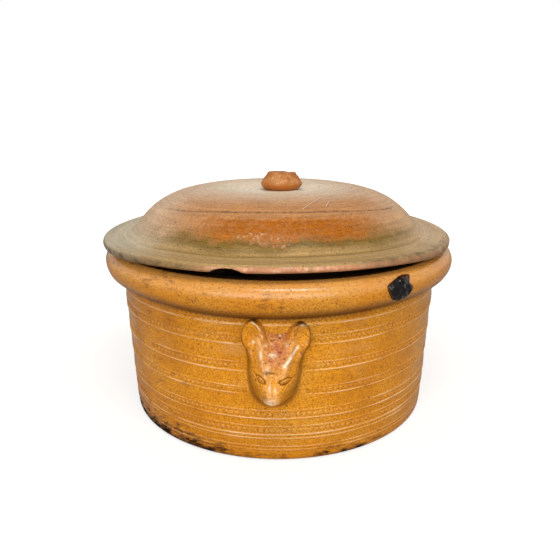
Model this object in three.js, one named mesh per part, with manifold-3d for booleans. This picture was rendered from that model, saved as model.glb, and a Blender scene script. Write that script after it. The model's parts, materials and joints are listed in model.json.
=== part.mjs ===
// A round stoneware cooking pot with a rolled rim, a lift-off domed lid and a fox-head lug on each side.
// Millimetres, +Z up. The origin is the middle of the pot's foot, and the front lug faces -Y.

import * as THREE from "three";
import { mergeVertices } from "three/addons/utils/BufferGeometryUtils.js";
import Module from "manifold-3d";

const wasm = await Module();
wasm.setup();

// Pot: a thrown cylinder that widens a little towards a heavy rolled rim
const POT_HEIGHT = 143;
const FOOT_RADIUS = 131;
const WALL_RADIUS = 136.3;
const WALL_THICKNESS = 9;
const FLOOR_THICKNESS = 10;
const FOOT_EDGE_RADIUS = 4;
const FLOOR_CORNER_RADIUS = 12;
const RIM_OVERHANG = 13.7;
const RIM_DROP = 13.5;
const RIM_RISE = 10.5;
const RIM_CREST_WIDTH = 5;
const MOUTH_EDGE_RADIUS = 6;

// Lid: a thrown dome on a flat flange, with a collar that drops into the mouth
const LID_INSET = 1;
const LID_SEAT_GAP = 0.3;
const LID_THICKNESS = 8;
const LID_EDGE_RADIUS = 3.8;
const LID_OFF_CENTRE = 2;
const FLANGE_WIDTH = 12;
const FLANGE_WARP = 3.5;
const CROWN_HEIGHT = 37.7;
const CROWN_RADIUS = 56;
const CROWN_SAG = 3.5;
const CROWN_SEAT_RADIUS = 22;
const SHOULDER_DROP = 22.5;
const SHOULDER_INSET = 22;
const COLLAR_DEPTH = 8;
const COLLAR_THICKNESS = 7;
const COLLAR_CLEARANCE = 4;
const CHIP_WIDTH = 25;
const CHIP_DEPTH = 4;
const CHIP_ANGLE = -12.5;

// Knob: a squat lump of clay that is stuck on the sagging crown, right of its middle
const KNOB_FOOT_RADIUS = 11.5;
const KNOB_BELLY_RADIUS = 17.8;
const KNOB_BELLY_HEIGHT = 5.7;
const KNOB_TOP_RADIUS = 11.8;
const KNOB_HEIGHT = 15.4;
const KNOB_EDGE_RADIUS = 2;
const KNOB_OFF_CENTRE = 4.2;

// Fox-head lugs: press-moulded reliefs that are stuck on the wall under the rim
const HEAD_HEIGHT = 70;
const HEAD_WIDTH = 47.6;
const HEAD_BELOW_RIM = 5;
const HEAD_TILT = 3;
const HEAD_OFFSET = 2.8;
const NOSE_REACH = 22.5;
const BROW_RIDGE = 1.7;
const EAR_REACH = 6.2;
const EAR_HOLLOW = 3;
const RELIEF_EDGE = 1.2;
const CREASE_FILL = 1.2;
const EYE_LENGTH = 7.6;
const EYE_HEIGHT = 3.6;
const EYE_BULGE = 1.3;

// Kiln drip: a blob of dark glass that ran on the rim in the firing
const DRIP_WIDTH = 24.5;
const DRIP_HEIGHT = 18.8;
const DRIP_THICKNESS = 1.4;
const DRIP_ANGLE = 34.5;

// Layer of slip between two pieces that are stuck together
const SLIP_GAP = 0.3;

// Fineness of the round forms
const TURN_STEPS = 64;
const ARC_STEPS = 4;
const CURVE_STEPS = 6;
const HEAD_RAYS = 60;
const HEAD_RINGS = 13;
const DRIP_RAYS = 32;
const DRIP_RINGS = 4;
const BACK_RINGS = 3;

// Sizes that follow from those above
const RIM_BOTTOM = POT_HEIGHT - RIM_RISE - RIM_DROP;
const BULGE_Z = POT_HEIGHT - RIM_RISE;
const RIM_RADIUS = WALL_RADIUS + RIM_OVERHANG;
const ROLL_CENTRE_RADIUS = RIM_RADIUS - (RIM_DROP + RIM_RISE) / 2;
const MOUTH_RADIUS = ROLL_CENTRE_RADIUS - RIM_CREST_WIDTH - MOUTH_EDGE_RADIUS;
const LID_RADIUS = RIM_RADIUS - LID_INSET;
const SEAT_Z = POT_HEIGHT + LID_SEAT_GAP;
const FLANGE_TOP = SEAT_Z + LID_THICKNESS;
const CROWN_Z = FLANGE_TOP + CROWN_HEIGHT;
const CROWN_SEAT_Z = CROWN_Z - CROWN_SAG;

const clay = {
  pot: new THREE.MeshStandardMaterial({ color: 0xb9772a, roughness: 0.32, metalness: 0 }),
  lug: new THREE.MeshStandardMaterial({ color: 0xc17f35, roughness: 0.3, metalness: 0 }),
  lid: new THREE.MeshStandardMaterial({ color: 0xa98453, roughness: 0.6, metalness: 0 }),
  knob: new THREE.MeshStandardMaterial({ color: 0xb96f33, roughness: 0.65, metalness: 0 }),
  drip: new THREE.MeshStandardMaterial({ color: 0x1c1512, roughness: 0.08, metalness: 0 }),
};

const radians = THREE.MathUtils.degToRad;
const smoothstep = THREE.MathUtils.smoothstep;
const bell = (distance, width) => Math.exp(-((distance / width) ** 2));

// The pot's outside wall is a slight cone from the foot to the rim's underside.
function wallRadius(z) {
  return THREE.MathUtils.lerp(FOOT_RADIUS, WALL_RADIUS, z / RIM_BOTTOM);
}

// A closed geometry as a solid for cutting and joining.
function solidOf(geometry) {
  const bare = new THREE.BufferGeometry();
  bare.setAttribute("position", geometry.getAttribute("position"));
  bare.setIndex(geometry.index);
  const merged = mergeVertices(bare, 1e-3);
  const mesh = new wasm.Mesh({
    numProp: 3,
    vertProperties: merged.getAttribute("position").array,
    triVerts: new Uint32Array(merged.index.array),
  });
  return new wasm.Manifold(mesh);
}

function geometryOf(solid) {
  const mesh = solid.getMesh();
  const geometry = new THREE.BufferGeometry();
  geometry.setAttribute("position", new THREE.BufferAttribute(mesh.vertProperties, mesh.numProp));
  geometry.setIndex(new THREE.BufferAttribute(mesh.triVerts, 1));
  geometry.computeVertexNormals();
  return geometry;
}

// Turns a profile of (radius, height) about Z.
function turned(profile, steps = TURN_STEPS) {
  const geometry = new THREE.LatheGeometry(profile, steps);
  geometry.rotateX(Math.PI / 2);
  return geometry;
}

// Points along a path, a few on each curve and the ends of each line.
function sampled(path) {
  const points = [];
  for (const curve of path.curves) {
    const isLine = curve.isLineCurve === true;
    const isArc = curve.isEllipseCurve === true;
    const steps = isLine ? 1 : isArc ? ARC_STEPS : CURVE_STEPS;
    const part = curve.getPoints(steps);
    points.push(...(points.length ? part.slice(1) : part));
  }
  return points;
}

function quarterArc(path, x, y, rx, ry, from, to) {
  path.absellipse(x, y, rx, ry, radians(from), radians(to), to < from);
}

function potBody() {
  const section = new THREE.Path();
  const footFlat = wallRadius(FOOT_EDGE_RADIUS) - FOOT_EDGE_RADIUS;
  const innerTop = MOUTH_RADIUS;
  const innerFoot = wallRadius(FLOOR_THICKNESS) - WALL_THICKNESS;
  const cornerZ = FLOOR_THICKNESS + FLOOR_CORNER_RADIUS;
  const rollReach = RIM_RADIUS - ROLL_CENTRE_RADIUS;
  section.moveTo(0, 0);
  section.lineTo(footFlat, 0);
  quarterArc(section, footFlat, FOOT_EDGE_RADIUS, FOOT_EDGE_RADIUS, FOOT_EDGE_RADIUS, -90, 0);
  section.lineTo(WALL_RADIUS, RIM_BOTTOM);
  section.lineTo(ROLL_CENTRE_RADIUS, RIM_BOTTOM);
  quarterArc(section, ROLL_CENTRE_RADIUS, BULGE_Z, rollReach, RIM_DROP, -90, 0);
  quarterArc(section, ROLL_CENTRE_RADIUS, BULGE_Z, rollReach, RIM_RISE, 0, 90);
  section.lineTo(ROLL_CENTRE_RADIUS - RIM_CREST_WIDTH, POT_HEIGHT);
  quarterArc(
    section,
    innerTop + MOUTH_EDGE_RADIUS,
    POT_HEIGHT - MOUTH_EDGE_RADIUS,
    MOUTH_EDGE_RADIUS,
    MOUTH_EDGE_RADIUS,
    90,
    180,
  );
  section.lineTo(innerFoot, cornerZ);
  quarterArc(
    section,
    innerFoot - FLOOR_CORNER_RADIUS,
    cornerZ,
    FLOOR_CORNER_RADIUS,
    FLOOR_CORNER_RADIUS,
    0,
    -90,
  );
  section.lineTo(0, FLOOR_THICKNESS);
  return turned(sampled(section));
}

// The flange sprang up at the front and back as it dried, so the lid rocks on its two sides.
function warp(geometry) {
  const position = geometry.getAttribute("position");
  for (let i = 0; i < position.count; i += 1) {
    const y = position.getY(i);
    const reach = Math.hypot(position.getX(i), y) / LID_RADIUS;
    const facing = reach > 0 ? (y / LID_RADIUS / reach) ** 2 : 0;
    position.setZ(i, position.getZ(i) + FLANGE_WARP * reach ** 2 * facing);
  }
  return geometry;
}

function lidDome() {
  const collarOuter = MOUTH_RADIUS - COLLAR_CLEARANCE;
  const collarInner = collarOuter - COLLAR_THICKNESS;
  const collarFoot = SEAT_Z - COLLAR_DEPTH;
  const flatEdge = LID_RADIUS - LID_EDGE_RADIUS;
  const flangeInner = LID_RADIUS - FLANGE_WIDTH;
  const shoulderRadius = flangeInner - SHOULDER_INSET;
  const shoulderZ = CROWN_Z - SHOULDER_DROP;
  const underCrown = CROWN_SEAT_Z - LID_THICKNESS;
  const underShoulder = shoulderRadius - LID_THICKNESS;

  const section = new THREE.Path();
  section.moveTo(0, underCrown);
  section.bezierCurveTo(
    underShoulder * 0.68,
    underCrown,
    underShoulder * 0.86,
    underCrown - SHOULDER_DROP * 0.22,
    underShoulder,
    shoulderZ - LID_THICKNESS * 0.5,
  );
  section.lineTo(collarInner, SEAT_Z);
  section.lineTo(collarInner, collarFoot);
  section.lineTo(collarOuter, collarFoot);
  section.lineTo(collarOuter, SEAT_Z);
  section.lineTo(flatEdge, SEAT_Z);
  quarterArc(section, flatEdge, SEAT_Z + LID_EDGE_RADIUS, LID_EDGE_RADIUS, LID_EDGE_RADIUS, -90, 0);
  quarterArc(section, flatEdge, FLANGE_TOP - LID_EDGE_RADIUS, LID_EDGE_RADIUS, LID_EDGE_RADIUS, 0, 90);
  section.lineTo(flangeInner, FLANGE_TOP);
  section.bezierCurveTo(
    flangeInner - SHOULDER_INSET * 0.55,
    FLANGE_TOP,
    shoulderRadius + SHOULDER_INSET * 0.3,
    shoulderZ - (shoulderZ - FLANGE_TOP) * 0.52,
    shoulderRadius,
    shoulderZ,
  );
  section.bezierCurveTo(
    shoulderRadius * 0.86,
    CROWN_Z - SHOULDER_DROP * 0.2,
    shoulderRadius * 0.68,
    CROWN_Z,
    CROWN_RADIUS,
    CROWN_Z,
  );
  section.bezierCurveTo(
    CROWN_RADIUS * 0.75,
    CROWN_Z,
    CROWN_SEAT_RADIUS * 1.45,
    CROWN_SEAT_Z,
    CROWN_SEAT_RADIUS,
    CROWN_SEAT_Z,
  );
  section.lineTo(0, CROWN_SEAT_Z);
  return chipped(warp(turned(sampled(section))));
}

// A flake is gone from the underside of the flange, left of the front.
function chipped(geometry) {
  const ball = (CHIP_WIDTH ** 2 / 4 + CHIP_DEPTH ** 2) / (2 * CHIP_DEPTH);
  const flake = new THREE.SphereGeometry(ball, 24, 16);
  const angle = radians(CHIP_ANGLE);
  const edgeZ = SEAT_Z + FLANGE_WARP * Math.cos(angle) ** 2 + CHIP_DEPTH - ball;
  flake.translate(Math.sin(angle) * LID_RADIUS, -Math.cos(angle) * LID_RADIUS, edgeZ);
  return geometryOf(solidOf(geometry).subtract(solidOf(flake)));
}

function lidKnob() {
  const section = new THREE.Path();
  const shoulder = KNOB_TOP_RADIUS - KNOB_EDGE_RADIUS;
  section.moveTo(0, 0);
  section.lineTo(KNOB_FOOT_RADIUS, 0);
  section.bezierCurveTo(
    KNOB_BELLY_RADIUS * 0.86,
    KNOB_BELLY_HEIGHT * 0.1,
    KNOB_BELLY_RADIUS,
    KNOB_BELLY_HEIGHT * 0.6,
    KNOB_BELLY_RADIUS,
    KNOB_BELLY_HEIGHT,
  );
  section.bezierCurveTo(
    KNOB_BELLY_RADIUS,
    KNOB_BELLY_HEIGHT * 1.4,
    KNOB_TOP_RADIUS * 1.12,
    KNOB_HEIGHT * 0.72,
    KNOB_TOP_RADIUS,
    KNOB_HEIGHT - KNOB_EDGE_RADIUS,
  );
  quarterArc(
    section,
    shoulder,
    KNOB_HEIGHT - KNOB_EDGE_RADIUS,
    KNOB_EDGE_RADIUS,
    KNOB_EDGE_RADIUS,
    0,
    90,
  );
  section.lineTo(0, KNOB_HEIGHT);
  return turned(sampled(section), TURN_STEPS / 2);
}

// A relief is a closed skin over an outline. Its face stands off by height(u, v) and its back lies on the seat.
// place(u, v, reach) puts a point of the outline's plane, at that reach off the seat, into space.
function relief(outline, centre, rings, height, place) {
  const positions = [];
  const triangles = [];
  const corner = new THREE.Vector2();
  const addRing = (share, reachOf) => {
    const first = positions.length / 3;
    for (const point of outline) {
      corner.lerpVectors(centre, point, share);
      positions.push(...place(corner.x, corner.y, reachOf(corner.x, corner.y)));
    }
    return first;
  };
  const addPole = (reachOf) => {
    positions.push(...place(centre.x, centre.y, reachOf(centre.x, centre.y)));
    return positions.length / 3 - 1;
  };
  const seat = () => 0;
  const starts = [];
  for (let k = 1; k <= rings; k += 1) {
    starts.push(addRing(k / rings, height));
  }
  for (let k = BACK_RINGS; k >= 1; k -= 1) {
    starts.push(addRing(k / BACK_RINGS, seat));
  }
  const count = outline.length;
  for (let k = 0; k + 1 < starts.length; k += 1) {
    for (let i = 0; i < count; i += 1) {
      const j = (i + 1) % count;
      const [a, b, c, d] = [starts[k] + i, starts[k] + j, starts[k + 1] + j, starts[k + 1] + i];
      triangles.push(a, c, b, a, d, c);
    }
  }
  const front = addPole(height);
  const back = addPole(seat);
  const last = starts[starts.length - 1];
  for (let i = 0; i < count; i += 1) {
    const j = (i + 1) % count;
    triangles.push(front, starts[0] + i, starts[0] + j, back, last + j, last + i);
  }
  const geometry = new THREE.BufferGeometry();
  geometry.setAttribute("position", new THREE.Float32BufferAttribute(positions, 3));
  geometry.setIndex(triangles);
  geometry.computeVertexNormals();
  return geometry;
}

// Lug outline, right half, as shares of half width and height: chin, cheek, ear, dip between the ears.
const HEAD_HALF = [
  [0, 0],
  [0.27, 0.007],
  [0.6, 0.08],
  [0.8, 0.195],
  [0.865, 0.4],
  [0.9, 0.6],
  [0.97, 0.75],
  [1, 0.845],
  [0.9, 0.95],
  [0.67, 1],
  [0.44, 0.95],
  [0.27, 0.87],
  [0, 0.85],
];

// How far the face stands off along its middle line, as shares of height and of the nose's reach.
const HEAD_RIDGE = [
  [0, 0.04],
  [0.06, 0.16],
  [0.12, 0.35],
  [0.155, 0.55],
  [0.185, 0.8],
  [0.22, 0.95],
  [0.26, 1],
  [0.32, 0.93],
  [0.39, 0.8],
  [0.45, 0.68],
  [0.55, 0.58],
  [0.65, 0.49],
  [0.73, 0.38],
  [0.8, 0.25],
  [0.86, 0.13],
  [0.92, 0.05],
  [1, 0.04],
];

function headOutline() {
  const half = HEAD_HALF.map(([u, v]) => new THREE.Vector2((u * HEAD_WIDTH) / 2, v * HEAD_HEIGHT));
  const mirrored = half.slice(1, -1).reverse();
  const left = mirrored.map((point) => new THREE.Vector2(-point.x, point.y));
  const loop = [...half, ...left, half[0].clone()];
  return new THREE.SplineCurve(loop).getSpacedPoints(HEAD_RAYS).slice(0, HEAD_RAYS);
}

const ridgeLine = new THREE.SplineCurve(HEAD_RIDGE.map(([v, p]) => new THREE.Vector2(v, p)));
const ridgePoints = ridgeLine.getPoints(HEAD_RIDGE.length * CURVE_STEPS);

function ridgeReach(v) {
  const share = THREE.MathUtils.clamp(v / HEAD_HEIGHT, 0, 1);
  const next = Math.max(1, ridgePoints.findIndex((point) => point.x >= share));
  const [low, high] = [ridgePoints[next - 1], ridgePoints[next]];
  const along = (share - low.x) / Math.max(high.x - low.x, 1e-6);
  return NOSE_REACH * THREE.MathUtils.lerp(low.y, high.y, THREE.MathUtils.clamp(along, 0, 1));
}

const earCentre = new THREE.Vector2(HEAD_WIDTH * 0.332, HEAD_HEIGHT * 0.835);
const browLine = new THREE.Line3(
  new THREE.Vector3(HEAD_WIDTH * 0.115, HEAD_HEIGHT * 0.47, 0),
  new THREE.Vector3(HEAD_WIDTH * 0.25, HEAD_HEIGHT * 0.8, 0),
);

// The greater of two heights, with the crease between them filled.
function softMax(a, b) {
  const near = Math.max(CREASE_FILL - Math.abs(a - b), 0) / CREASE_FILL;
  return Math.max(a, b) + (near * near * CREASE_FILL) / 4;
}

// The ears are dished leaves that taper down into the cheeks.
function earReach(side, v) {
  const lean = radians(12);
  const du = side - earCentre.x;
  const dv = v - earCentre.y;
  const across = du * Math.cos(lean) - dv * Math.sin(lean);
  const along = du * Math.sin(lean) + dv * Math.cos(lean);
  const reach = HEAD_HEIGHT * (along > 0 ? 0.185 : 0.27);
  const leaf = Math.hypot(across / (HEAD_WIDTH * 0.17), along / reach);
  const dish = EAR_REACH - EAR_HOLLOW * bell(leaf, 0.6);
  return dish * (1 - smoothstep(leaf, 0.98, 1.3));
}

function headReach(u, v) {
  const side = Math.abs(u);
  const rise = smoothstep(v, HEAD_HEIGHT * 0.2, HEAD_HEIGHT * 0.5);
  const breadth = HEAD_WIDTH * THREE.MathUtils.lerp(0.205, 0.385, rise);
  const squareness = THREE.MathUtils.lerp(2.5, 3.2, rise);
  const middle = ridgeReach(v);
  const muzzle = middle * Math.exp(-((side / breadth) ** squareness));
  const cheek = middle * 0.3 * (1 - smoothstep(side, 0, HEAD_WIDTH * 0.46));
  const nearest = browLine.closestPointToPoint(new THREE.Vector3(side, v, 0), true, new THREE.Vector3());
  const brow = BROW_RIDGE * bell(Math.hypot(side - nearest.x, v - nearest.y), HEAD_WIDTH * 0.055);
  const face = softMax(muzzle, cheek) + brow;
  return Math.max(softMax(face, earReach(side, v)), RELIEF_EDGE);
}

// Wraps a point of the lug's outline round the pot's wall.
function onWall(u, v, reach) {
  const tilt = radians(HEAD_TILT);
  const middle = HEAD_HEIGHT / 2;
  const across = u * Math.cos(tilt) + (v - middle) * Math.sin(tilt) - HEAD_OFFSET;
  const up = (v - middle) * Math.cos(tilt) - u * Math.sin(tilt) + middle;
  const z = RIM_BOTTOM - HEAD_BELOW_RIM - HEAD_HEIGHT + up;
  const angle = across / wallRadius(z);
  const radius = wallRadius(z) + SLIP_GAP + reach;
  return [radius * Math.sin(angle), -radius * Math.cos(angle), z];
}

// An almond eye, sunk to half its thickness in the face and slanting up outwards.
function eye(side) {
  const lens = new THREE.SphereGeometry(1, 12, 8);
  lens.scale(EYE_LENGTH / 2, EYE_BULGE, EYE_HEIGHT / 2);
  lens.rotateY(radians(-18) * side);
  lens.rotateX(radians(-28));
  const u = side * HEAD_WIDTH * 0.165;
  const v = HEAD_HEIGHT * 0.44;
  lens.translate(...onWall(u, v, headReach(u, v)));
  return solidOf(lens);
}

function headLug() {
  const centre = new THREE.Vector2(0, HEAD_HEIGHT * 0.46);
  const face = solidOf(relief(headOutline(), centre, HEAD_RINGS, headReach, onWall));
  return geometryOf(face.add(eye(1)).add(eye(-1)));
}

// Drip outline as shares of its half width and half height, seen from outside: a ragged shield with a spur.
const DRIP_EDGE = [
  [-0.1, -1],
  [0.5, -0.85],
  [0.85, -0.5],
  [0.95, 0.05],
  [0.7, 0.4],
  [1, 0.85],
  [0.4, 1],
  [-0.15, 0.85],
  [-0.85, 0.5],
  [-1, 0.3],
  [-0.9, -0.15],
  [-0.55, -0.75],
];

// Lays a point of the drip's outline on the bulge of the rim, reach off its surface.
function onRim(u, v, reach) {
  const rollReach = RIM_RADIUS - ROLL_CENTRE_RADIUS;
  const rollHeight = v > 0 ? RIM_RISE : RIM_DROP;
  const turn = v / rollHeight;
  const normal = new THREE.Vector2(Math.cos(turn) / rollReach, Math.sin(turn) / rollHeight).normalize();
  const out = SLIP_GAP + reach;
  const radius = ROLL_CENTRE_RADIUS + rollReach * Math.cos(turn) + normal.x * out;
  const z = BULGE_Z + rollHeight * Math.sin(turn) + normal.y * out;
  const angle = radians(DRIP_ANGLE) + u / RIM_RADIUS;
  return [radius * Math.sin(angle), -radius * Math.cos(angle), z];
}

function kilnDrip() {
  const loop = DRIP_EDGE.map(([u, v]) => new THREE.Vector2((u * DRIP_WIDTH) / 2, (v * DRIP_HEIGHT) / 2));
  const outline = new THREE.SplineCurve([...loop, loop[0].clone()]).getSpacedPoints(DRIP_RAYS);
  const blob = (u, v) => {
    const spread = Math.hypot((2 * u) / DRIP_WIDTH, (2 * v) / DRIP_HEIGHT);
    return DRIP_THICKNESS * (1 - 0.6 * Math.min(spread, 1) ** 4);
  };
  return relief(outline.slice(0, -1), new THREE.Vector2(0, 0), DRIP_RINGS, blob, onRim);
}

function piece(name, geometry, material) {
  const mesh = new THREE.Mesh(geometry, material);
  mesh.name = name;
  return mesh;
}

const pot = new THREE.Group();
pot.add(piece("pot_body", potBody(), clay.pot));
pot.add(piece("front_head_lug", headLug(), clay.lug));
const rearLug = piece("rear_head_lug", headLug(), clay.lug);
rearLug.rotation.z = Math.PI;
pot.add(rearLug);
pot.add(piece("kiln_drip", kilnDrip(), clay.drip));

const lid = new THREE.Group();
lid.position.x = -LID_OFF_CENTRE;
lid.add(piece("lid_dome", lidDome(), clay.lid));
const knob = piece("lid_knob", lidKnob(), clay.knob);
knob.position.set(KNOB_OFF_CENTRE, 0, CROWN_SEAT_Z + SLIP_GAP);
lid.add(knob);

const cookingPot = new THREE.Group();
cookingPot.add(pot, lid);

export default cookingPot;
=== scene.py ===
# Looks of a lidded, salt-glazed cooking pot, laid out as an add-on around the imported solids.

import json
import math
from bisect import bisect

import bpy
from bpy.props import FloatProperty, FloatVectorProperty, IntProperty, PointerProperty
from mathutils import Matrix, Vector, noise
from mathutils.geometry import interpolate_bezier

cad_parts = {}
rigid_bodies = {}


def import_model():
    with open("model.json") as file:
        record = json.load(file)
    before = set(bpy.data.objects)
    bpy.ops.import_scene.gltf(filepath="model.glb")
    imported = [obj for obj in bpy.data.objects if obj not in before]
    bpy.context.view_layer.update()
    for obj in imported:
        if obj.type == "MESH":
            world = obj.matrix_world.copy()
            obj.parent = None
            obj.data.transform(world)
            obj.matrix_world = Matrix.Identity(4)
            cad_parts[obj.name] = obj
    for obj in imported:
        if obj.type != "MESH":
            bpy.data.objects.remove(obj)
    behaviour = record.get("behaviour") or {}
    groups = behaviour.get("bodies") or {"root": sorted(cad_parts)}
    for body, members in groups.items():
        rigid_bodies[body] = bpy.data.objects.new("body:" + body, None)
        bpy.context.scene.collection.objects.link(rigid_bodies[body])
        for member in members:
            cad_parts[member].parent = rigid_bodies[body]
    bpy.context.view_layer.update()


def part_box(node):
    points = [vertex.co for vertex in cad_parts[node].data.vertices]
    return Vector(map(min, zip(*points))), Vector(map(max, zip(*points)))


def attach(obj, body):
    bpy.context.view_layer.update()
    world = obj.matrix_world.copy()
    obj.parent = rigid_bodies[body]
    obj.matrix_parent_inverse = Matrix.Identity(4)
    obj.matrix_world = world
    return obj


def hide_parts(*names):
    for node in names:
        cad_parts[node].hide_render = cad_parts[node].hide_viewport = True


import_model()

bl_info = {
    "name": "Lidded Stoneware Pot",
    "version": (1, 0, 0),
    "blender": (4, 5, 0),
    "location": "View3D > Sidebar > Pot",
    "description": "Models and glazes a thrown cooking pot with fox-head lugs and a domed lid",
    "category": "Add Mesh",
}

MM = 0.001

# Places that come from the frame
POT_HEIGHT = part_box("pot_body")[1].z
RIM_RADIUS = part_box("pot_body")[1].x
LID_LOW, LID_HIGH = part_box("lid_dome")
LID_RADIUS = (LID_HIGH.x - LID_LOW.x) / 2
LID_CENTRE = (LID_HIGH.x + LID_LOW.x) / 2
CROWN_Z = LID_HIGH.z - 1 * MM
KNOB_LOW, KNOB_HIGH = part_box("lid_knob")
KNOB_RADIUS = (KNOB_HIGH.x - KNOB_LOW.x) / 2
KNOB_CENTRE = (KNOB_HIGH.x + KNOB_LOW.x) / 2

# Heights of the raised lines round the wall, each with a row of bead stamps above it
RIDGE_HEIGHTS = [height * MM for height in (110.4, 94.6, 73.8, 55.1, 36.6, 22.8)]

# Fainter lines that the rib left near the foot
FAINT_HEIGHTS = [height * MM for height in (19.9, 12.6, 9.2)]

# Numbers that a pressed piece keeps at every point: how thin and how worn its glaze is, both partly painted
# highlight, how rusty, and how pooled, partly painted shade
GLAZE_LAYERS = ("thin", "rust", "pool_and_shade", "worn")

# Shares of the lid's radius: the groove at the dome's foot, and the scored line with its bend and its wander
GROOVE_SHARE = 0.857
SCORE_SHARE = 0.65
SCORE_BEND = 0.05
SCORE_DRIFT = 0.02

# Stretch of the ball that cuts the flake, in and out across the flange's edge
FLAKE_REACH = 0.8


def linear(hex_colour):
    """An sRGB hex colour as linear red, green and blue."""
    channels = [int(hex_colour[i:i + 2], 16) / 255 for i in (1, 3, 5)]
    return tuple(c / 12.92 if c <= 0.04045 else ((c + 0.055) / 1.055) ** 2.4 for c in channels)


def length(name, description, millimetres):
    default = millimetres * MM
    return FloatProperty(name=name, description=description, default=default, unit="LENGTH", precision=4)


def tone(name, description, hex_colour):
    default = linear(hex_colour)
    return FloatVectorProperty(name=name, description=description, default=default, subtype="COLOR")


def turn(name, description, degrees):
    return FloatProperty(name=name, description=description, default=math.radians(degrees), subtype="ANGLE")


class PotSizes(bpy.types.PropertyGroup):
    """Sizes of the thrown pot and its stamped bands."""

    foot_radius: length("Foot radius", "Outside of the wall where it meets the floor", 131)
    wall_radius: length("Wall radius", "Outside of the wall under the rim", 136.3)
    wall_thickness: length("Wall thickness", "Thickness of the thrown wall", 9)
    floor_thickness: length("Floor thickness", "Thickness of the pot's floor", 10)
    foot_edge: length("Foot edge", "Rounding of the foot's edge", 4)
    floor_corner: length("Floor corner", "Rounding inside, between floor and wall", 12)
    rim_drop: length("Rim drop", "From the rim's widest place to its underside", 13.5)
    rim_rise: length("Rim rise", "From the rim's widest place to its crest", 10.5)
    rim_slide: length("Rim slide", "How far the rim's lower half sags at the front", 2.6)
    crest_width: length("Crest width", "Flat of the crest that the lid sits on", 5)
    mouth_edge: length("Mouth edge", "Rounding of the mouth's inner edge", 6)
    ridge_height: length("Ridge height", "How far a raised line stands off the wall", 0.5)
    ridge_width: length("Ridge width", "Half width of a raised line", 0.58)
    faint_height: length("Faint line height", "How far a faint line stands off the wall", 0.34)
    wobble: length("Wobble", "How far the lines wander up and down", 0.5)
    bead_pitch: length("Bead pitch", "Distance between two bead stamps", 4.15)
    bead_size: length("Bead size", "Width of a bead stamp", 3.8)
    bead_height: length("Bead height", "How far a bead stands off the wall", 0.5)
    bead_lift: length("Bead lift", "From a raised line to the middle of its beads", 3.3)
    turn_steps: IntProperty(name="Turn steps", description="Steps round the pot", default=384)


class LidSizes(bpy.types.PropertyGroup):
    """Sizes of the lid and its knob."""

    thickness: length("Thickness", "Thickness of flange and dome", 8)
    edge_radius: length("Edge radius", "Rounding of the flange's edge", 3.8)
    flange_width: length("Flange width", "Flat ring round the dome", 12)
    flange_warp: length("Flange warp", "How far the front and back sprang up", 3.5)
    crown_height: length("Crown height", "From the flange's top to the crown", 36.7)
    shoulder_drop: length("Shoulder drop", "From the crown down to the dome's steepest place", 22.5)
    shoulder_inset: length("Shoulder inset", "From the flange in to the dome's steepest place", 22)
    collar_depth: length("Collar depth", "How far the collar drops into the mouth", 8)
    collar_thickness: length("Collar thickness", "Wall of the collar", 7)
    collar_clearance: length("Collar clearance", "Gap between the collar and the mouth", 4)
    crown_radius: length("Crown radius", "Where the crown is highest", 56)
    crown_sag: length("Crown sag", "How far the middle of the crown sank", 2.5)
    crown_seat: length("Crown seat", "Flat of the crown under the knob", 22)
    knob_foot: length("Knob foot", "Radius of the knob's foot", 12.3)
    knob_belly: length("Knob belly", "Height of the knob's widest place", 5.7)
    knob_top: length("Knob top", "Radius of the knob's top", 12.5)
    nibble: length("Nibble", "Depth of the worn bites along the flange's edge", 0.8)
    chip_width: length("Chip width", "Width of the flake that is gone from the flange", 25)
    chip_depth: length("Chip depth", "Depth of that flake", 4)
    chip_angle: turn("Chip angle", "Place of the flake, from the front", -12.5)


class LugSizes(bpy.types.PropertyGroup):
    """Sizes of the fox-head lugs and the drip on the rim."""

    height: length("Height", "Chin to ear tips", 70)
    width: length("Width", "Across the ears", 47.6)
    below_rim: length("Below rim", "Gap between the ear tips and the rim", 5)
    offset: length("Offset", "How far the lug sits left of the front", 2.8)
    tilt: turn("Tilt", "Lean of the ears to the right", 3)
    nose_reach: length("Nose reach", "How far the nose stands off the wall", 22.5)
    brow_ridge: length("Brow ridge", "Height of the ridges from ears to eyes", 1.7)
    ear_reach: length("Ear reach", "How far the ears stand off the wall", 6.2)
    ear_hollow: length("Ear hollow", "Depth of the dish in each ear", 3)
    drip_width: length("Drip width", "Width of the glass blob", 24.5)
    drip_height: length("Drip height", "Height of the glass blob", 18.8)
    drip_thickness: length("Drip thickness", "Thickness of the glass blob", 1.9)
    drip_angle: turn("Drip angle", "Place of the glass blob, from the front", 34.5)


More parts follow.
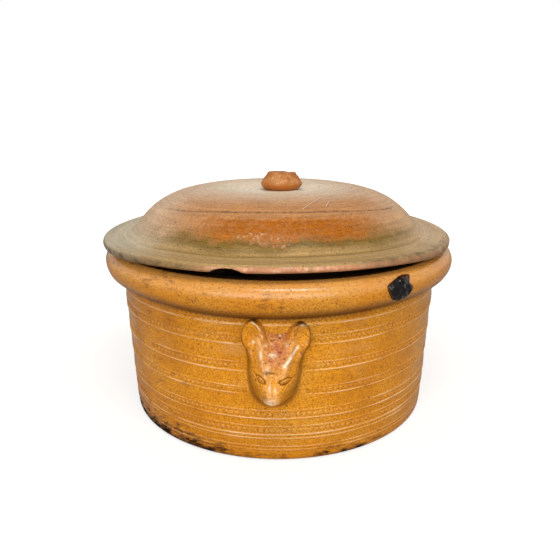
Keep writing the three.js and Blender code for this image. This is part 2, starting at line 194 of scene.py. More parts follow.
class PotColours(bpy.types.PropertyGroup):
    """Colours of the fired clays and glazes."""

    honey: tone("Honey", "Body of the salt glaze", "#d88e19")
    honey_deep: tone("Deep honey", "Where the glaze lies thick", "#ab650b")
    honey_pale: tone("Pale honey", "Where the glaze lies thin", "#d89935")
    # Thin glaze also stands in for the highlights on raised places
    thin_glaze: tone("Thin glaze", "On the raised lines and worn ridges", "#edc490")
    # Worn also stands in for highlights on the heads
    worn: tone("Worn glaze", "Whitish crust rubbed off the heads' high places", "#f2e4c2")
    rust: tone("Rust", "Worn clay on the foreheads", "#a5573a")
    # Iron speck also paints the shade in the heads' hollows and under the rim
    iron_speck: tone("Iron speck", "Specks burnt through the glaze", "#5c300d")
    # Soot also paints the shade on the seat under the lid and under the lid itself
    soot: tone("Soot", "Burnt crust round the foot", "#140c06")
    inside: tone("Inside", "Thin brown glaze inside the pot", "#8a5420")
    # The crown's pale tone is partly painted sheen
    crown: tone("Crown", "Ash-greyed clay on top of the lid", "#dcc9ad")
    blush: tone("Blush", "Pinkish bare clay on the dome", "#aa7646")
    amber: tone("Amber", "Glassy band low on the dome", "#9c5609")
    olive: tone("Olive", "Greenish ash at the foot of the dome", "#6a5014")
    flange_ash: tone("Flange ash", "Grey-tan ash on the flange", "#a3824f")
    side_ash: tone("Side ash", "Greyer ash at the flange's left", "#b8a98b")
    warm_ash: tone("Warm ash", "Browner ash at the flange's right", "#ba8a52")
    bare_edge: tone("Bare edge", "Pink clay bared along the edge", "#c2815c")
    burnt_edge: tone("Burnt edge", "Scorched clay along the edge", "#44301f")
    terracotta: tone("Terracotta", "Orange clay of the knob", "#a8662d")
    glass: tone("Kiln glass", "Almost black glass of the drip", "#040302")
    thin_glass: tone("Thin kiln glass", "Brown where the drip is thin", "#6b3a12")


class StageSettings(bpy.types.PropertyGroup):
    """Camera, lamps and floor."""

    lens: FloatProperty(name="Lens", description="Focal length in millimetres on a 36 mm frame", default=36.6)
    camera_distance: length("Camera distance", "From the pot's axis to the camera", 502)
    camera_height: length("Camera height", "From the floor to the camera", 248.2)
    camera_side: length("Camera side", "How far the camera stands to the right", 1)
    camera_pitch: turn("Camera pitch", "How far the camera looks down", 16.13)
    sky_power: FloatProperty(name="Sky power", description="Strength of the even light", default=0.46)
    top_power: FloatProperty(
        name="Top power", description="Power of the lamp overhead", default=9.5, subtype="POWER")
    front_power: FloatProperty(
        name="Front power", description="Power of the front lamp", default=20, subtype="POWER")


def deselect_all():
    bpy.ops.object.select_all(action="DESELECT")


def pick(piece):
    """Makes a piece the only one that is selected, and the active one."""
    deselect_all()
    piece.select_set(True)
    bpy.context.view_layer.objects.active = piece


def bell(distance, width):
    return math.exp(-((distance / width) ** 2))


def smooth(value, low, high):
    """Eases from 0 at low to 1 at high."""
    share = min(max((value - low) / (high - low), 0), 1)
    return share * share * (3 - 2 * share)


def mix(a, b, share):
    return a + (b - a) * share


def arc(centre, radii, start, end, steps):
    """Points on a quarter ellipse, from one angle in degrees to another."""
    turns = [math.radians(mix(start, end, i / steps)) for i in range(steps + 1)]
    return [(centre[0] + radii[0] * math.cos(t), centre[1] + radii[1] * math.sin(t)) for t in turns]


def curve(a, b, c, d, steps):
    """Points on a cubic curve in the plane of radius and height."""
    corners = [Vector((x, y, 0)) for x, y in (a, b, c, d)]
    return [(p.x, p.y) for p in interpolate_bezier(*corners, steps + 1)]


def throw(name, profile, steps):
    """Draws a profile of radius and height point by point, then spins it about the wheel's axis."""
    deselect_all()
    bpy.ops.mesh.primitive_plane_add(size=MM, location=(0, 0, 0))
    piece = bpy.context.object
    piece.name = piece.data.name = name
    bpy.ops.object.mode_set(mode="EDIT")
    bpy.ops.mesh.merge(type="CENTER")
    bpy.ops.transform.translate(value=(profile[0][0], 0, profile[0][1]))
    for (r0, z0), (r1, z1) in zip(profile, profile[1:]):
        bpy.ops.mesh.extrude_region_move(TRANSFORM_OT_translate={"value": (r1 - r0, 0, z1 - z0)})
    bpy.ops.mesh.select_all(action="SELECT")
    bpy.ops.mesh.spin(steps=steps, angle=2 * math.pi, center=(0, 0, 0), axis=(0, 0, 1))
    bpy.ops.mesh.select_all(action="SELECT")
    bpy.ops.mesh.remove_doubles(threshold=0.002 * MM)
    bpy.ops.mesh.normals_make_consistent(inside=False)
    bpy.ops.object.mode_set(mode="OBJECT")
    return piece


def reshape(piece, move):
    """Moves every point of a piece by a rule, as a hand presses clay."""
    for vertex in piece.data.vertices:
        vertex.co = move(vertex.co)
    piece.data.update()


def mark(piece, name, measure):
    """Keeps a number at every point, for the glaze to read."""
    layer = piece.data.attributes.new(name, "FLOAT", "POINT")
    layer.data.foreach_set("value", [measure(vertex.co) for vertex in piece.data.vertices])


def finish_piece(piece, material, body, node=None, angle=50):
    """Smooths a piece, glazes it and sets it on the body that carries it."""
    pick(piece)
    bpy.ops.object.shade_smooth_by_angle(angle=math.radians(angle))
    piece.data.materials.clear()
    piece.data.materials.append(material)
    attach(piece, body)
    if node:
        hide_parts(node)


def rim_bottom(pot):
    return POT_HEIGHT - pot.rim_rise - pot.rim_drop


def rim_roll(pot):
    """Half the thickness of the rolled rim."""
    return (pot.rim_drop + pot.rim_rise) / 2


def mouth_radius(pot):
    return RIM_RADIUS - rim_roll(pot) - pot.crest_width - pot.mouth_edge


def chin_height(pot, lug):
    return rim_bottom(pot) - lug.below_rim - lug.height


def wall_radius(pot, z):
    return mix(pot.foot_radius, pot.wall_radius, z / rim_bottom(pot))


def faint_lines(pot):
    """Heights of the faint lines: near the foot, and above each row of beads."""
    return FAINT_HEIGHTS + [ridge + 2 * pot.bead_lift for ridge in RIDGE_HEIGHTS]


def wall_relief(pot, z):
    """How far the raised lines stand off the wall at a height."""
    bold = sum(bell(z - ridge, pot.ridge_width) for ridge in RIDGE_HEIGHTS)
    faint = sum(bell(z - line, pot.ridge_width * 0.8) for line in faint_lines(pot))
    return pot.ridge_height * bold + pot.faint_height * faint


def wall_swell(co):
    """Soft unevenness of the thrown wall."""
    return 0.3 * MM * noise.noise(Vector((co.x, co.y, 3 * co.z)) * 28)


def hand_wobble(pot, angle, z):
    """The turning hand wanders, so the lines rise and fall a little round the pot."""
    wander = math.sin(angle + 40 * z / RIM_RADIUS) + 0.5 * math.sin(3 * angle + 25 * z / RIM_RADIUS)
    inside = smooth(z, 0, 12 * MM) * (1 - smooth(z, rim_bottom(pot) - 6 * MM, rim_bottom(pot)))
    return pot.wobble * wander * inside


def around(co):
    """Angle from the front, positive to the right."""
    return math.atan2(co.x, -co.y)


def wheel_point(radius, angle, z):
    """Point at a distance from the wheel's axis, at an angle from the front."""
    return Vector((radius * math.sin(angle), -radius * math.cos(angle), z))


def rim_sag(pot, angle, z):
    """How far the soft roll of the rim slid down the wall at the front, over the lug."""
    bottom = rim_bottom(pot)
    share = smooth(z, bottom - 7 * MM, bottom) * (1 - smooth(z, bottom, bottom + pot.rim_drop))
    return pot.rim_slide * share * bell(angle + 0.1, 0.55)


def left_by_fingers(pot, lug, angle, z):
    """Share of a raised line that is left, because wet fingers smoothed the wall beside each lug."""
    low = chin_height(pot, lug)
    ragged = 9 * MM * noise.noise(Vector((4 * angle, 55 * z, 2)))
    apart = abs(math.sin(angle) * RIM_RADIUS + math.copysign(lug.offset, math.cos(angle))) + ragged
    beside = 1 - smooth(apart, lug.width * 0.45, lug.width * 0.85)
    level = smooth(z, low - 2 * MM, low + 6 * MM) * (1 - smooth(z, low + lug.height * 0.9, low + lug.height))
    return 1 - 0.8 * beside * level


class COOKPOT_OT_throw_pot(bpy.types.Operator):
    """Throws the pot: foot, ridged wall, rolled rim and inside."""

    bl_idname = "cookpot.throw_pot"
    bl_label = "Throw Pot"

    def execute(self, context):
        pot = context.scene.pot_sizes
        lug = context.scene.lug_sizes
        bottom = rim_bottom(pot)
        bulge = POT_HEIGHT - pot.rim_rise
        roll = rim_roll(pot)
        roll_centre = RIM_RADIUS - roll
        mouth = mouth_radius(pot)
        mouth_z = POT_HEIGHT - pot.mouth_edge
        flat = wall_radius(pot, pot.foot_edge) - pot.foot_edge
        inner_foot = wall_radius(pot, pot.floor_thickness) - pot.wall_thickness
        corner_z = pot.floor_thickness + pot.floor_corner

        # Points lie far apart on the wall but close across every line, and a nick divides it from the rim
        coarse, fine, nick = 4 * MM, 0.32 * MM, 0.4 * MM
        heights = {pot.foot_edge + i * coarse for i in range(1, int((bottom - pot.foot_edge) / coarse))}
        heights |= {line + k * fine for line in RIDGE_HEIGHTS + faint_lines(pot) for k in range(-4, 5)}
        wall = sorted(z for z in heights if pot.foot_edge < z < bottom - nick)

        profile = [(0, 0), (flat * 0.5, 0)]
        profile += arc((flat, pot.foot_edge), (pot.foot_edge, pot.foot_edge), -90, 0, 8)
        profile += [(wall_radius(pot, z) + wall_relief(pot, z), z) for z in wall]
        profile += [(pot.wall_radius, bottom - nick), (pot.wall_radius + nick, bottom)]
        profile += arc((roll_centre, bulge), (roll, pot.rim_drop), -88, 0, 16)
        profile += arc((roll_centre, bulge), (roll, pot.rim_rise), 0, 90, 16)[1:]
        profile += arc((roll_centre - pot.crest_width, mouth_z), (pot.mouth_edge, pot.mouth_edge), 90, 180, 8)
        profile += [(mix(mouth, inner_foot, i / 8), mix(mouth_z, corner_z, i / 8)) for i in range(1, 8)]
        corner = (inner_foot - pot.floor_corner, corner_z)
        profile += arc(corner, (pot.floor_corner, pot.floor_corner), 0, -90, 8)
        profile += [(corner[0] * 0.5, pot.floor_thickness), (0, pot.floor_thickness)]
        piece = throw("thrown_pot", profile, pot.turn_steps)

        def throwing_marks(co):
            radius = math.hypot(co.x, co.y)
            if radius < flat * 0.6:
                return co
            angle = around(co)
            swell = wall_swell(co) * smooth(co.z, 0, 8 * MM)
            rise = 0
            if radius > inner_foot + 4 * MM:
                rise = hand_wobble(pot, angle, co.z) - rim_sag(pot, angle, co.z)
                if pot.foot_edge < co.z < bottom - 1 * MM:
                    stand = radius - wall_radius(pot, co.z)
                    swell -= stand * (1 - left_by_fingers(pot, lug, angle, co.z))
            grow = 1 + swell / radius
            return Vector((co.x * grow, co.y * grow, co.z + rise))

        # Paler thin glaze on the raised lines, partly a painted highlight
        def thin_glaze(co):
            radius = math.hypot(co.x, co.y)
            if radius < pot.foot_radius - 3 * MM or radius > pot.wall_radius + 1.5 * MM:
                return 0
            stand = radius - wall_radius(pot, co.z)
            patchy = 0.75 + 0.9 * noise.noise(Vector((7 * around(co), 45 * co.z, 5)))
            return min(max(patchy, 0.15), 1.15) * smooth(stand, 0.05 * MM, pot.ridge_height)

        def pooled_glaze_and_shade(co):
            """A dark line under the rim, and on the wall just below it: pooled glaze and painted shade."""
            radius = math.hypot(co.x, co.y)
            outside = smooth(radius, pot.wall_radius - 3 * MM, pot.wall_radius - 1 * MM)
            low = bottom - rim_sag(pot, around(co), bottom)
            roll_share = 1 - smooth(co.z, low + 1 * MM, low + 10 * MM)
            wall_share = smooth(co.z, low - 5 * MM, low - 1.5 * MM)
            return outside * (roll_share if radius > pot.wall_radius + 0.8 * MM else wall_share)

        reshape(piece, throwing_marks)
        mark(piece, "thin", thin_glaze)
        mark(piece, "pool_and_shade", pooled_glaze_and_shade)
        finish_piece(piece, salt_glaze(), "pot", "pot_body")
        return {"FINISHED"}


class COOKPOT_OT_stamp_beads(bpy.types.Operator):
    """Presses the rows of small bead stamps above the raised lines."""

    bl_idname = "cookpot.stamp_beads"
    bl_label = "Stamp Beads"

    def execute(self, context):
        pot = context.scene.pot_sizes
        lug = context.scene.lug_sizes
        heights = [ridge + pot.bead_lift for ridge in RIDGE_HEIGHTS]
        rows = [self.stamp_row(pot, lug, height, index) for index, height in enumerate(heights)]
        beads = rows[0]
        pick(beads)
        for row in rows:
            row.select_set(True)
        bpy.ops.object.join()
        beads.name = beads.data.name = "bead_stamps"
        self.clear_lugs(pot, lug, beads)

        def stand(co):
            return math.hypot(co.x, co.y) - wall_radius(pot, co.z) - wall_swell(co)

        # Each bead's top is paler with thin glaze, partly a painted highlight, and its foot has a dark ring
        # of pooled glaze and painted shade
        mark(beads, "thin", lambda co: 0.18 * smooth(stand(co), 0.2 * MM, pot.bead_height))
        mark(beads, "pool_and_shade", lambda co: 0.55 * (1 - smooth(stand(co), 0, 0.22 * MM)))
        finish_piece(beads, salt_glaze(), "pot")
        return {"FINISHED"}

    def stamp_row(self, pot, lug, height, index):
        """One bead on the wall, repeated round the pot by an array about the axis."""
        radius = wall_radius(pot, height)
        count = round(2 * math.pi * radius / pot.bead_pitch)
        deselect_all()
        bpy.ops.mesh.primitive_uv_sphere_add(segments=10, ring_count=6, radius=1, location=(0, 0, 0))
        row = bpy.context.object
        bpy.ops.object.mode_set(mode="EDIT")
        bpy.ops.mesh.select_all(action="SELECT")
        bpy.ops.mesh.bisect(plane_co=(0, 0, -0.1), plane_no=(0, 0, 1), clear_inner=True, use_fill=True)
        bpy.ops.mesh.select_all(action="SELECT")
        bpy.ops.transform.resize(value=(pot.bead_size / 2, pot.bead_size / 2, pot.bead_height),
                                 center_override=(0, 0, 0))
        bpy.ops.transform.rotate(value=-math.pi / 2, orient_axis="X", center_override=(0, 0, 0))
        bpy.ops.object.mode_set(mode="OBJECT")
        outward = 1 if sum(v.co.y for v in row.data.vertices) < 0 else -1
        reshape(row, lambda co: Vector((co.x, outward * co.y - radius, outward * co.z + height)))
        empty = bpy.data.objects.new("bead_turn", None)
        bpy.context.collection.objects.link(empty)
        empty.rotation_euler.z = 2 * math.pi / count
        bpy.context.view_layer.update()
        array = row.modifiers.new("beads", "ARRAY")
        array.count = count
        array.use_relative_offset = False
        array.use_object_offset = True
        array.offset_object = empty
        bpy.ops.object.modifier_apply(modifier=array.name)
        bpy.data.objects.remove(empty)
        start = index * 0.37 * 2 * math.pi / count

        def settle(co):
            """Lays the row on the uneven wall, fainter in places, and faintest under the rim at the front."""
            angle = around(co) + start
            reach = math.hypot(co.x, co.y)
            fade = 0.9 + 0.4 * noise.noise(co * 35)
            if index == 0:
                fade *= 0.6 - 0.45 * bell(angle, 0.7)
            reach = radius + (reach - radius) * fade * left_by_fingers(pot, lug, angle, co.z)
            z = co.z + hand_wobble(pot, angle, height) - rim_sag(pot, angle, height)
            reach += wall_radius(pot, z) - radius + wall_swell(co)
            return wheel_point(reach, angle, z)

        reshape(row, settle)
        return row

    def clear_lugs(self, pot, lug, beads):
        """Takes away the beads that the lugs cover."""
        low = chin_height(pot, lug)
        half = lug.width * 0.4
        bpy.ops.object.mode_set(mode="EDIT")
        bpy.ops.mesh.select_mode(type="VERT")
        bpy.ops.mesh.select_all(action="DESELECT")
        bpy.ops.object.mode_set(mode="OBJECT")
        for vertex in beads.data.vertices:
            co = vertex.co
            across = abs(co.x + math.copysign(lug.offset, -co.y))
            covered = across < half and abs(co.y) > pot.wall_radius * 0.9
            vertex.select = covered and low < co.z < low + lug.height * 0.86
        bpy.ops.object.mode_set(mode="EDIT")
        bpy.ops.mesh.select_linked()
        bpy.ops.mesh.delete(type="VERT")
        bpy.ops.object.mode_set(mode="OBJECT")


# Lug outline, right half, as shares of half width and height: chin, cheek, ear and the dip between the ears
HEAD_HALF = [(0, 0), (0.27, 0.007), (0.6, 0.08), (0.8, 0.195), (0.865, 0.4), (0.9, 0.6), (0.97, 0.75),
             (1, 0.845), (0.9, 0.95), (0.67, 1), (0.44, 0.95), (0.27, 0.87), (0, 0.85)]

# How far the face stands off along its middle line, as shares of height and of the nose's reach
HEAD_RIDGE = [(0, 0.04), (0.06, 0.16), (0.12, 0.35), (0.155, 0.55), (0.185, 0.8), (0.22, 0.95), (0.26, 1),
              (0.32, 0.93), (0.39, 0.8), (0.45, 0.68), (0.55, 0.57), (0.65, 0.46), (0.73, 0.33), (0.8, 0.18),
              (0.86, 0.07), (0.92, 0.04), (1, 0.04)]

# White spots where the face is rubbed bare, partly painted highlights, seen from the front, in millimetres:
# middle and half sizes
WORN_AND_HIGHLIGHT_SPOTS = [(7, 54.3, 1.1, 1.7), (-6, 53, 1.4, 0.8), (-9, 47, 1, 2.8), (-4, 38, 1.3, 2.4),
              (-15, 54, 1.9, 0.9), (-1.7, 46.8, 2.8, 1.8), (2.8, 58.5, 0.9, 0.9), (-2, 26.5, 0.8, 2.8),
              (1.2, 26, 0.6, 2.4)]
WORN_AND_HIGHLIGHT_SNOUT = (-1.2, 17.4, 4.6, 3.2)

# Rubbed streak on the brow at the right, partly a painted highlight, from its foot to its top
WORN_AND_HIGHLIGHT_STREAK = (Vector((6 * MM, 40.5 * MM)), Vector((14.5 * MM, 52 * MM)))

# Eyes as degrees of slant, distance out as a share of the lug's width, and half length
LEFT_EYE = (30, 0.172, 3.7 * MM)
RIGHT_EYE = (14, 0.155, 4.3 * MM)

# Drip outline as shares of half width and half height: a ragged shield with a spur
DRIP_EDGE = [(-0.1, -1), (0.5, -0.85), (0.85, -0.5), (0.95, 0.05), (0.7, 0.4), (1, 0.85), (0.4, 1),
             (-0.15, 0.85), (-0.85, 0.5), (-1, 0.3), (-0.9, -0.15), (-0.55, -0.75)]


def spline(points, closed, steps):
    """Points on a smooth curve through a list of points."""
    count = len(points)
    spans = count if closed else count - 1
    result = []
    for i in range(spans):
        around_it = [points[(i + k) % count] if closed else points[min(max(i + k, 0), count - 1)]
                     for k in (-1, 0, 1, 2)]
        for j in range(steps):
            t = j / steps
            weights = (-t * t * t + 2 * t * t - t, 3 * t * t * t - 5 * t * t + 2,
                       -3 * t * t * t + 4 * t * t + t, t * t * t - t * t)
            result.append(tuple(sum(w * p[axis] for w, p in zip(weights, around_it)) / 2 for axis in (0, 1)))
    return result if closed else result + [points[-1]]


def reader(points):
    """A rule that reads a list of points as straight spans between them."""
    starts = [point[0] for point in points]

    def read(value):
        index = min(max(bisect(starts, value), 1), len(points) - 1)
        (x0, y0), (x1, y1) = points[index - 1], points[index]
        return mix(y0, y1, (value - x0) / max(x1 - x0, 1e-9))

    return read


def outline_reach(outline, centre):
    """A rule that gives the outline's distance from the centre in any direction."""
    turns = sorted((math.atan2(y - centre[1], x - centre[0]), math.hypot(x - centre[0], y - centre[1]))
                   for x, y in outline)
    before, after = turns[-1], turns[0]
    return reader([(before[0] - 2 * math.pi, before[1])] + turns + [(after[0] + 2 * math.pi, after[1])])


def press(name, outline, centre, relief, place, segments, rings, sink):
    """Presses a ball of clay flat inside an outline: relief on its front, its back on the seat."""
    deselect_all()
    bpy.ops.mesh.primitive_uv_sphere_add(segments=segments, ring_count=rings, radius=1, location=(0, 0, 0))
    piece = bpy.context.object
    piece.name = piece.data.name = name
    reach_of = outline_reach(outline, centre)
    tones = []
    for vertex in piece.data.vertices:
        share = min(math.hypot(vertex.co.x, vertex.co.y), 1)
        angle = math.atan2(vertex.co.y, vertex.co.x)
        far = reach_of(angle) * share
        u, v = centre[0] + far * math.cos(angle), centre[1] + far * math.sin(angle)
        rise, *tone_here = relief(u, v, share) if vertex.co.z > -1e-4 else (-sink, 0, 0, 0, 0)
        tones.append(tone_here)
        vertex.co = place(u, v, rise)
    for layer_name, values in zip(GLAZE_LAYERS, zip(*tones)):
        layer = piece.data.attributes.new(layer_name, "FLOAT", "POINT")
        layer.data.foreach_set("value", values)
    bpy.ops.object.mode_set(mode="EDIT")
    bpy.ops.mesh.select_all(action="SELECT")
    bpy.ops.mesh.normals_make_consistent(inside=False)
    bpy.ops.object.mode_set(mode="OBJECT")
    return piece


# Reach of the face's middle line, as a share of the nose's reach
head_ridge = reader(spline(HEAD_RIDGE, False, 8))


def turned_offset(u, v, centre, angle):
    """Offset from a centre, turned into the axes of a feature that slants."""
    du, dv = u - centre[0], v - centre[1]
    return du * math.cos(angle) + dv * math.sin(angle), dv * math.cos(angle) - du * math.sin(angle)


def segment_far(point, start, end):
    """Distance from a point to the straight line between two others."""
    span = end - start
    along = min(max((point - start).dot(span) / span.length_squared, 0), 1)
    return (point - start - span * along).length


def spot_share(u, v, spot, blur):
    """1 in the middle of a rubbed spot, which is partly a painted highlight, easing to 0 outside it."""
    x, y, wide, high = spot
    return bell(math.hypot((u / MM - x) / wide, (v / MM - y) / high), blur)


def soft_max(a, b, blend):
    """The greater of two heights, with the crease between them filled."""
    near = max(blend - abs(a - b), 0) / blend
    return max(a, b) + near * near * blend / 4


def fox_face(lug, u, v, share):
    """Reach of a lug's face, with how thin, rusty, pooled and worn the glaze is there; the pool is partly
    painted shade, the thin and worn glaze partly painted highlight.
    """
    width, tall = lug.width, lug.height
    side = abs(u)
    rise = smooth(v, tall * 0.2, tall * 0.5)
    breadth = width * mix(0.205, 0.385, rise)
    middle = lug.nose_reach * head_ridge(min(max(v / tall, 0), 1))
    muzzle = middle * math.exp(-((side / breadth) ** mix(2.5, 3.2, rise)))
    cheek = middle * 0.3 * (1 - smooth(side, 0, width * 0.46))

    # Ridges from the ears down to the eyes, with a hollow forehead between them
    foot, top = Vector((width * 0.115, tall * 0.47)), Vector((width * 0.25, tall * 0.8))
    brow = bell(segment_far(Vector((side, v)), foot, top), width * 0.05)
    hollow = bell(side, width * 0.09) * bell(v - tall * 0.7, tall * 0.13)
    face = soft_max(muzzle, cheek, 1 * MM) + lug.brow_ridge * brow - 1.2 * MM * hollow

    # Ears: dished leaves that run down into the cheeks
    across, up = turned_offset(side, v, (width * 0.332, tall * 0.835), -math.radians(12))
    leaf = math.hypot(across / (width * 0.17), up / (tall * (0.185 if up > 0 else 0.27)))
    ear_rim = bell(leaf - 0.86, 0.13)
    dish = lug.ear_reach - lug.ear_hollow * bell(leaf, 0.6) + 0.8 * MM * ear_rim
    ear = dish * (1 - smooth(leaf, 0.98, 1.3))

    # Eyes: almond balls between lids, with a slit and a crease that runs out and up
    slope, out, half = LEFT_EYE if u < 0 else RIGHT_EYE
    slant, lift = turned_offset(side, v, (width * out, tall * 0.44), math.radians(slope))
    lid_open = max(1.8 * MM * (1 - min(abs(slant) / half, 1) ** 2), 0.05 * MM)
    ball = 0.8 * MM * max(1 - (lift / lid_open) ** 2, 0) if abs(slant) < half else 0
    lids = bell(abs(lift) - lid_open, 0.5 * MM) * (1 - smooth(abs(slant), half * 0.9, half * 1.3))
    slit = bell(lift, 0.3 * MM) * (1 - smooth(abs(slant), half * 0.4, half * 0.75))
    crease = bell(lift - 0.3 * slant + 0.3 * half, 0.5 * MM) * smooth(slant, half * 0.75, half * 1.1)
    crease *= 1 - smooth(slant, half * 1.8, half * 2.5)
    eye = ball - 1.0 * MM * lids - 0.35 * MM * slit - 0.5 * MM * crease

    # Nose pad with nostrils, and the corners of the mouth under it
    pad = bell(side, 5 * MM) * bell(v - tall * 0.225, 3.2 * MM)
    nostril = bell(math.hypot(side - 3 * MM, v - tall * 0.19), 0.9 * MM)
    wing = bell(math.hypot(side, v - tall * 0.235) - 6.2 * MM, 0.6 * MM)
    wing *= (1 - smooth(v, tall * 0.2, tall * 0.27)) * smooth(side, 1.5 * MM, 4 * MM)
    face += eye + 0.8 * MM * pad - 0.8 * MM * nostril - 0.7 * MM * wing

    upper = smooth(v, tall * 0.3, tall * 0.6)
    lumps = sum(rough * MM * noise.noise(Vector((u, v, layer)) * scale)
                for rough, layer, scale in ((0.45, 0, 200), (0.35, 0.3, 420), (0.14, 0.7, 900)))
    reach = soft_max(face, ear, 1.2 * MM) + lumps * mix(0.35, 1, upper)

    patchy = min(max(0.5 + 1.1 * noise.noise(Vector((u, v, 0.02)) * 210), 0), 1)
    # Paler thin glaze on the brow ridges and nose pad, partly a painted highlight
    thin = max(0.35 * brow, 0.25 * pad)

    # White crust, partly painted highlight: a long rub on the right brow, spots and the snout; the fine lines
    # along the ears' rims are painted highlights
    ear_highlight = bell(leaf - 0.8, 0.035)
    inner_ear_highlight = ear_highlight * smooth(-across, 0, 2 * MM) * smooth(v, tall * 0.81, tall * 0.85) if u < 0 else 0
    top_ear_highlight = ear_highlight * smooth(up, 4 * MM, 7 * MM) * bell(across, 2.5 * MM) if u > 0 else 0
    streak = bell(segment_far(Vector((u, v)), *WORN_AND_HIGHLIGHT_STREAK), 0.95 * MM)
    spots = max(spot_share(u, v, spot, 0.8) for spot in WORN_AND_HIGHLIGHT_SPOTS)
    snout = spot_share(u, v, WORN_AND_HIGHLIGHT_SNOUT, 0.85)
    broken = 0.5 + 1.5 * noise.noise(Vector((u, v, 0.4)) * 560)
    worn = max(0.95 * streak, inner_ear_highlight, top_ear_highlight, 0.8 * spots, 0.62 * snout)
    worn = min(max(worn * mix(0.35, 1.15, 0.4 * patchy + 0.6 * broken), 0), 0.85)

    # Rough red clay on the forehead, with dark pits
    forehead = bell(u - 1 * MM, width * 0.19) * smooth(v, tall * 0.52, tall * 0.64)
    pits = smooth(noise.noise(Vector((u, v, 0.9)) * 520), 0.22, 0.42) * max(forehead, 0.35 * upper)
    rust = forehead * mix(0.9, 1.9, patchy)
    # Painted shade, partly pooled glaze: on the flanks, on the ears' edges that turn from the light, and in
    # the eye lines, nostrils and mouth corners
    flank_pool_and_shade = 0.6 * smooth(share, 0.6, 0.82) * (1 - smooth(share, 0.84, 1))
    flank_pool_and_shade *= 1 - smooth(v, tall * 0.66, tall * 0.78)
    ear_edge_shade = smooth(leaf, 0.76, 0.92) if u < 0 else smooth(leaf, 0.62, 0.9)
    ear_edge_shade *= smooth(max(across, 0.8 * up), 1.5 * MM, 5 * MM) * smooth(across, -6 * MM, -3 * MM)
    ear_edge_shade *= smooth(v, tall * 0.66, tall * 0.76)
    pool_and_shade = max(lids * 0.75, slit * 0.6, crease * 0.6, nostril * 0.9, wing * 0.8, flank_pool_and_shade, ear_edge_shade, pits * 0.8)
    return reach, thin, rust, pool_and_shade, worn


class COOKPOT_OT_press_lugs(bpy.types.Operator):
    """Presses the two fox heads and sticks them on the wall."""

    bl_idname = "cookpot.press_lugs"
    bl_label = "Press Lugs"

    def execute(self, context):
        lug = context.scene.lug_sizes
        pot = context.scene.pot_sizes
        right = [(u * lug.width / 2, v * lug.height) for u, v in HEAD_HALF]
        left = [(-u, v) for u, v in reversed(right[1:-1])]
        outline = spline(right + left, True, 10)
        centre = (0, lug.height * 0.46)
        low = chin_height(pot, lug)
        middle = lug.height / 2

        def relief(u, v, share):
            """The face rounds over at its edge, where its glaze runs into the wall's."""
            reach, *tones = fox_face(lug, u, v, share)
            between = 1 - smooth(abs(u), lug.width * 0.16, lug.width * 0.26)
            feather = max(1 - smooth(v, lug.height * 0.66, lug.height * 0.76), between)
            edge = max(1 - share ** 30, 0) ** 0.5
            feather_start = mix(0.74, 0.55, between * smooth(v, 0, lug.height * 0.8))
            soft = mix(1, 1 - smooth(share, feather_start, 1), feather)
            return max(reach * edge * soft, 0.05 * MM), *tones

        def place(u, v, reach):
            across = u * math.cos(lug.tilt) + (v - middle) * math.sin(lug.tilt) - lug.offset
            up = (v - middle) * math.cos(lug.tilt) - u * math.sin(lug.tilt) + middle
            z = low + up
            radius = wall_radius(pot, z)
            return wheel_point(radius + reach, across / radius, z)

        front = press("front_fox_head", outline, centre, relief, place, 240, 200, 1 * MM)
        bpy.ops.object.duplicate()
        rear = bpy.context.object
        rear.name = rear.data.name = "rear_fox_head"
        bpy.ops.object.mode_set(mode="EDIT")
        bpy.ops.mesh.select_all(action="SELECT")
        bpy.ops.transform.rotate(value=math.pi, orient_axis="Z", center_override=(0, 0, 0))
        bpy.ops.object.mode_set(mode="OBJECT")
        for piece, node in ((front, "front_head_lug"), (rear, "rear_head_lug")):
            finish_piece(piece, salt_glaze(), "pot", node, 60)
        return {"FINISHED"}


class COOKPOT_OT_run_drip(bpy.types.Operator):
    """Runs the blob of black kiln glass on the rim."""

    bl_idname = "cookpot.run_drip"
    bl_label = "Run Drip"

    def execute(self, context):
        lug = context.scene.lug_sizes
        pot = context.scene.pot_sizes
        roll = rim_roll(pot)
        bulge = POT_HEIGHT - pot.rim_rise
        outline = spline([(u * lug.drip_width / 2, v * lug.drip_height / 2) for u, v in DRIP_EDGE], True, 6)

        def relief(u, v, share):
            """A domed blob that thins to brown at its upper right and along its edge."""
            edge = max(1 - share ** 2.2, 0) ** 0.5
            dimple = 1.2 * MM * noise.noise(Vector((u, v, 0)) * 330)
            upper_right = smooth(u / lug.drip_width + v / lug.drip_height, 0.25, 0.75)
            rise = lug.drip_thickness * (mix(1.7, 0.7, upper_right) * edge + 0.1) + dimple * edge
            return rise, max(0.8 * upper_right, 0.7 * smooth(share, 0.84, 1)), 0, 0, 0

        def place(u, v, reach):
            tall = pot.rim_rise if v > 0 else pot.rim_drop
            tilt = v / tall
            normal = Vector((math.cos(tilt) / roll, math.sin(tilt) / tall)).normalized()
            radius = RIM_RADIUS - roll + roll * math.cos(tilt) + normal.x * reach
            z = bulge + tall * math.sin(tilt) + normal.y * reach
            return wheel_point(radius, lug.drip_angle + u / RIM_RADIUS, z)

        drip = press("black_glass_drip", outline, (0, 0), relief, place, 96, 48, 0.6 * MM)
        finish_piece(drip, kiln_glass(), "pot", "kiln_drip")
        return {"FINISHED"}


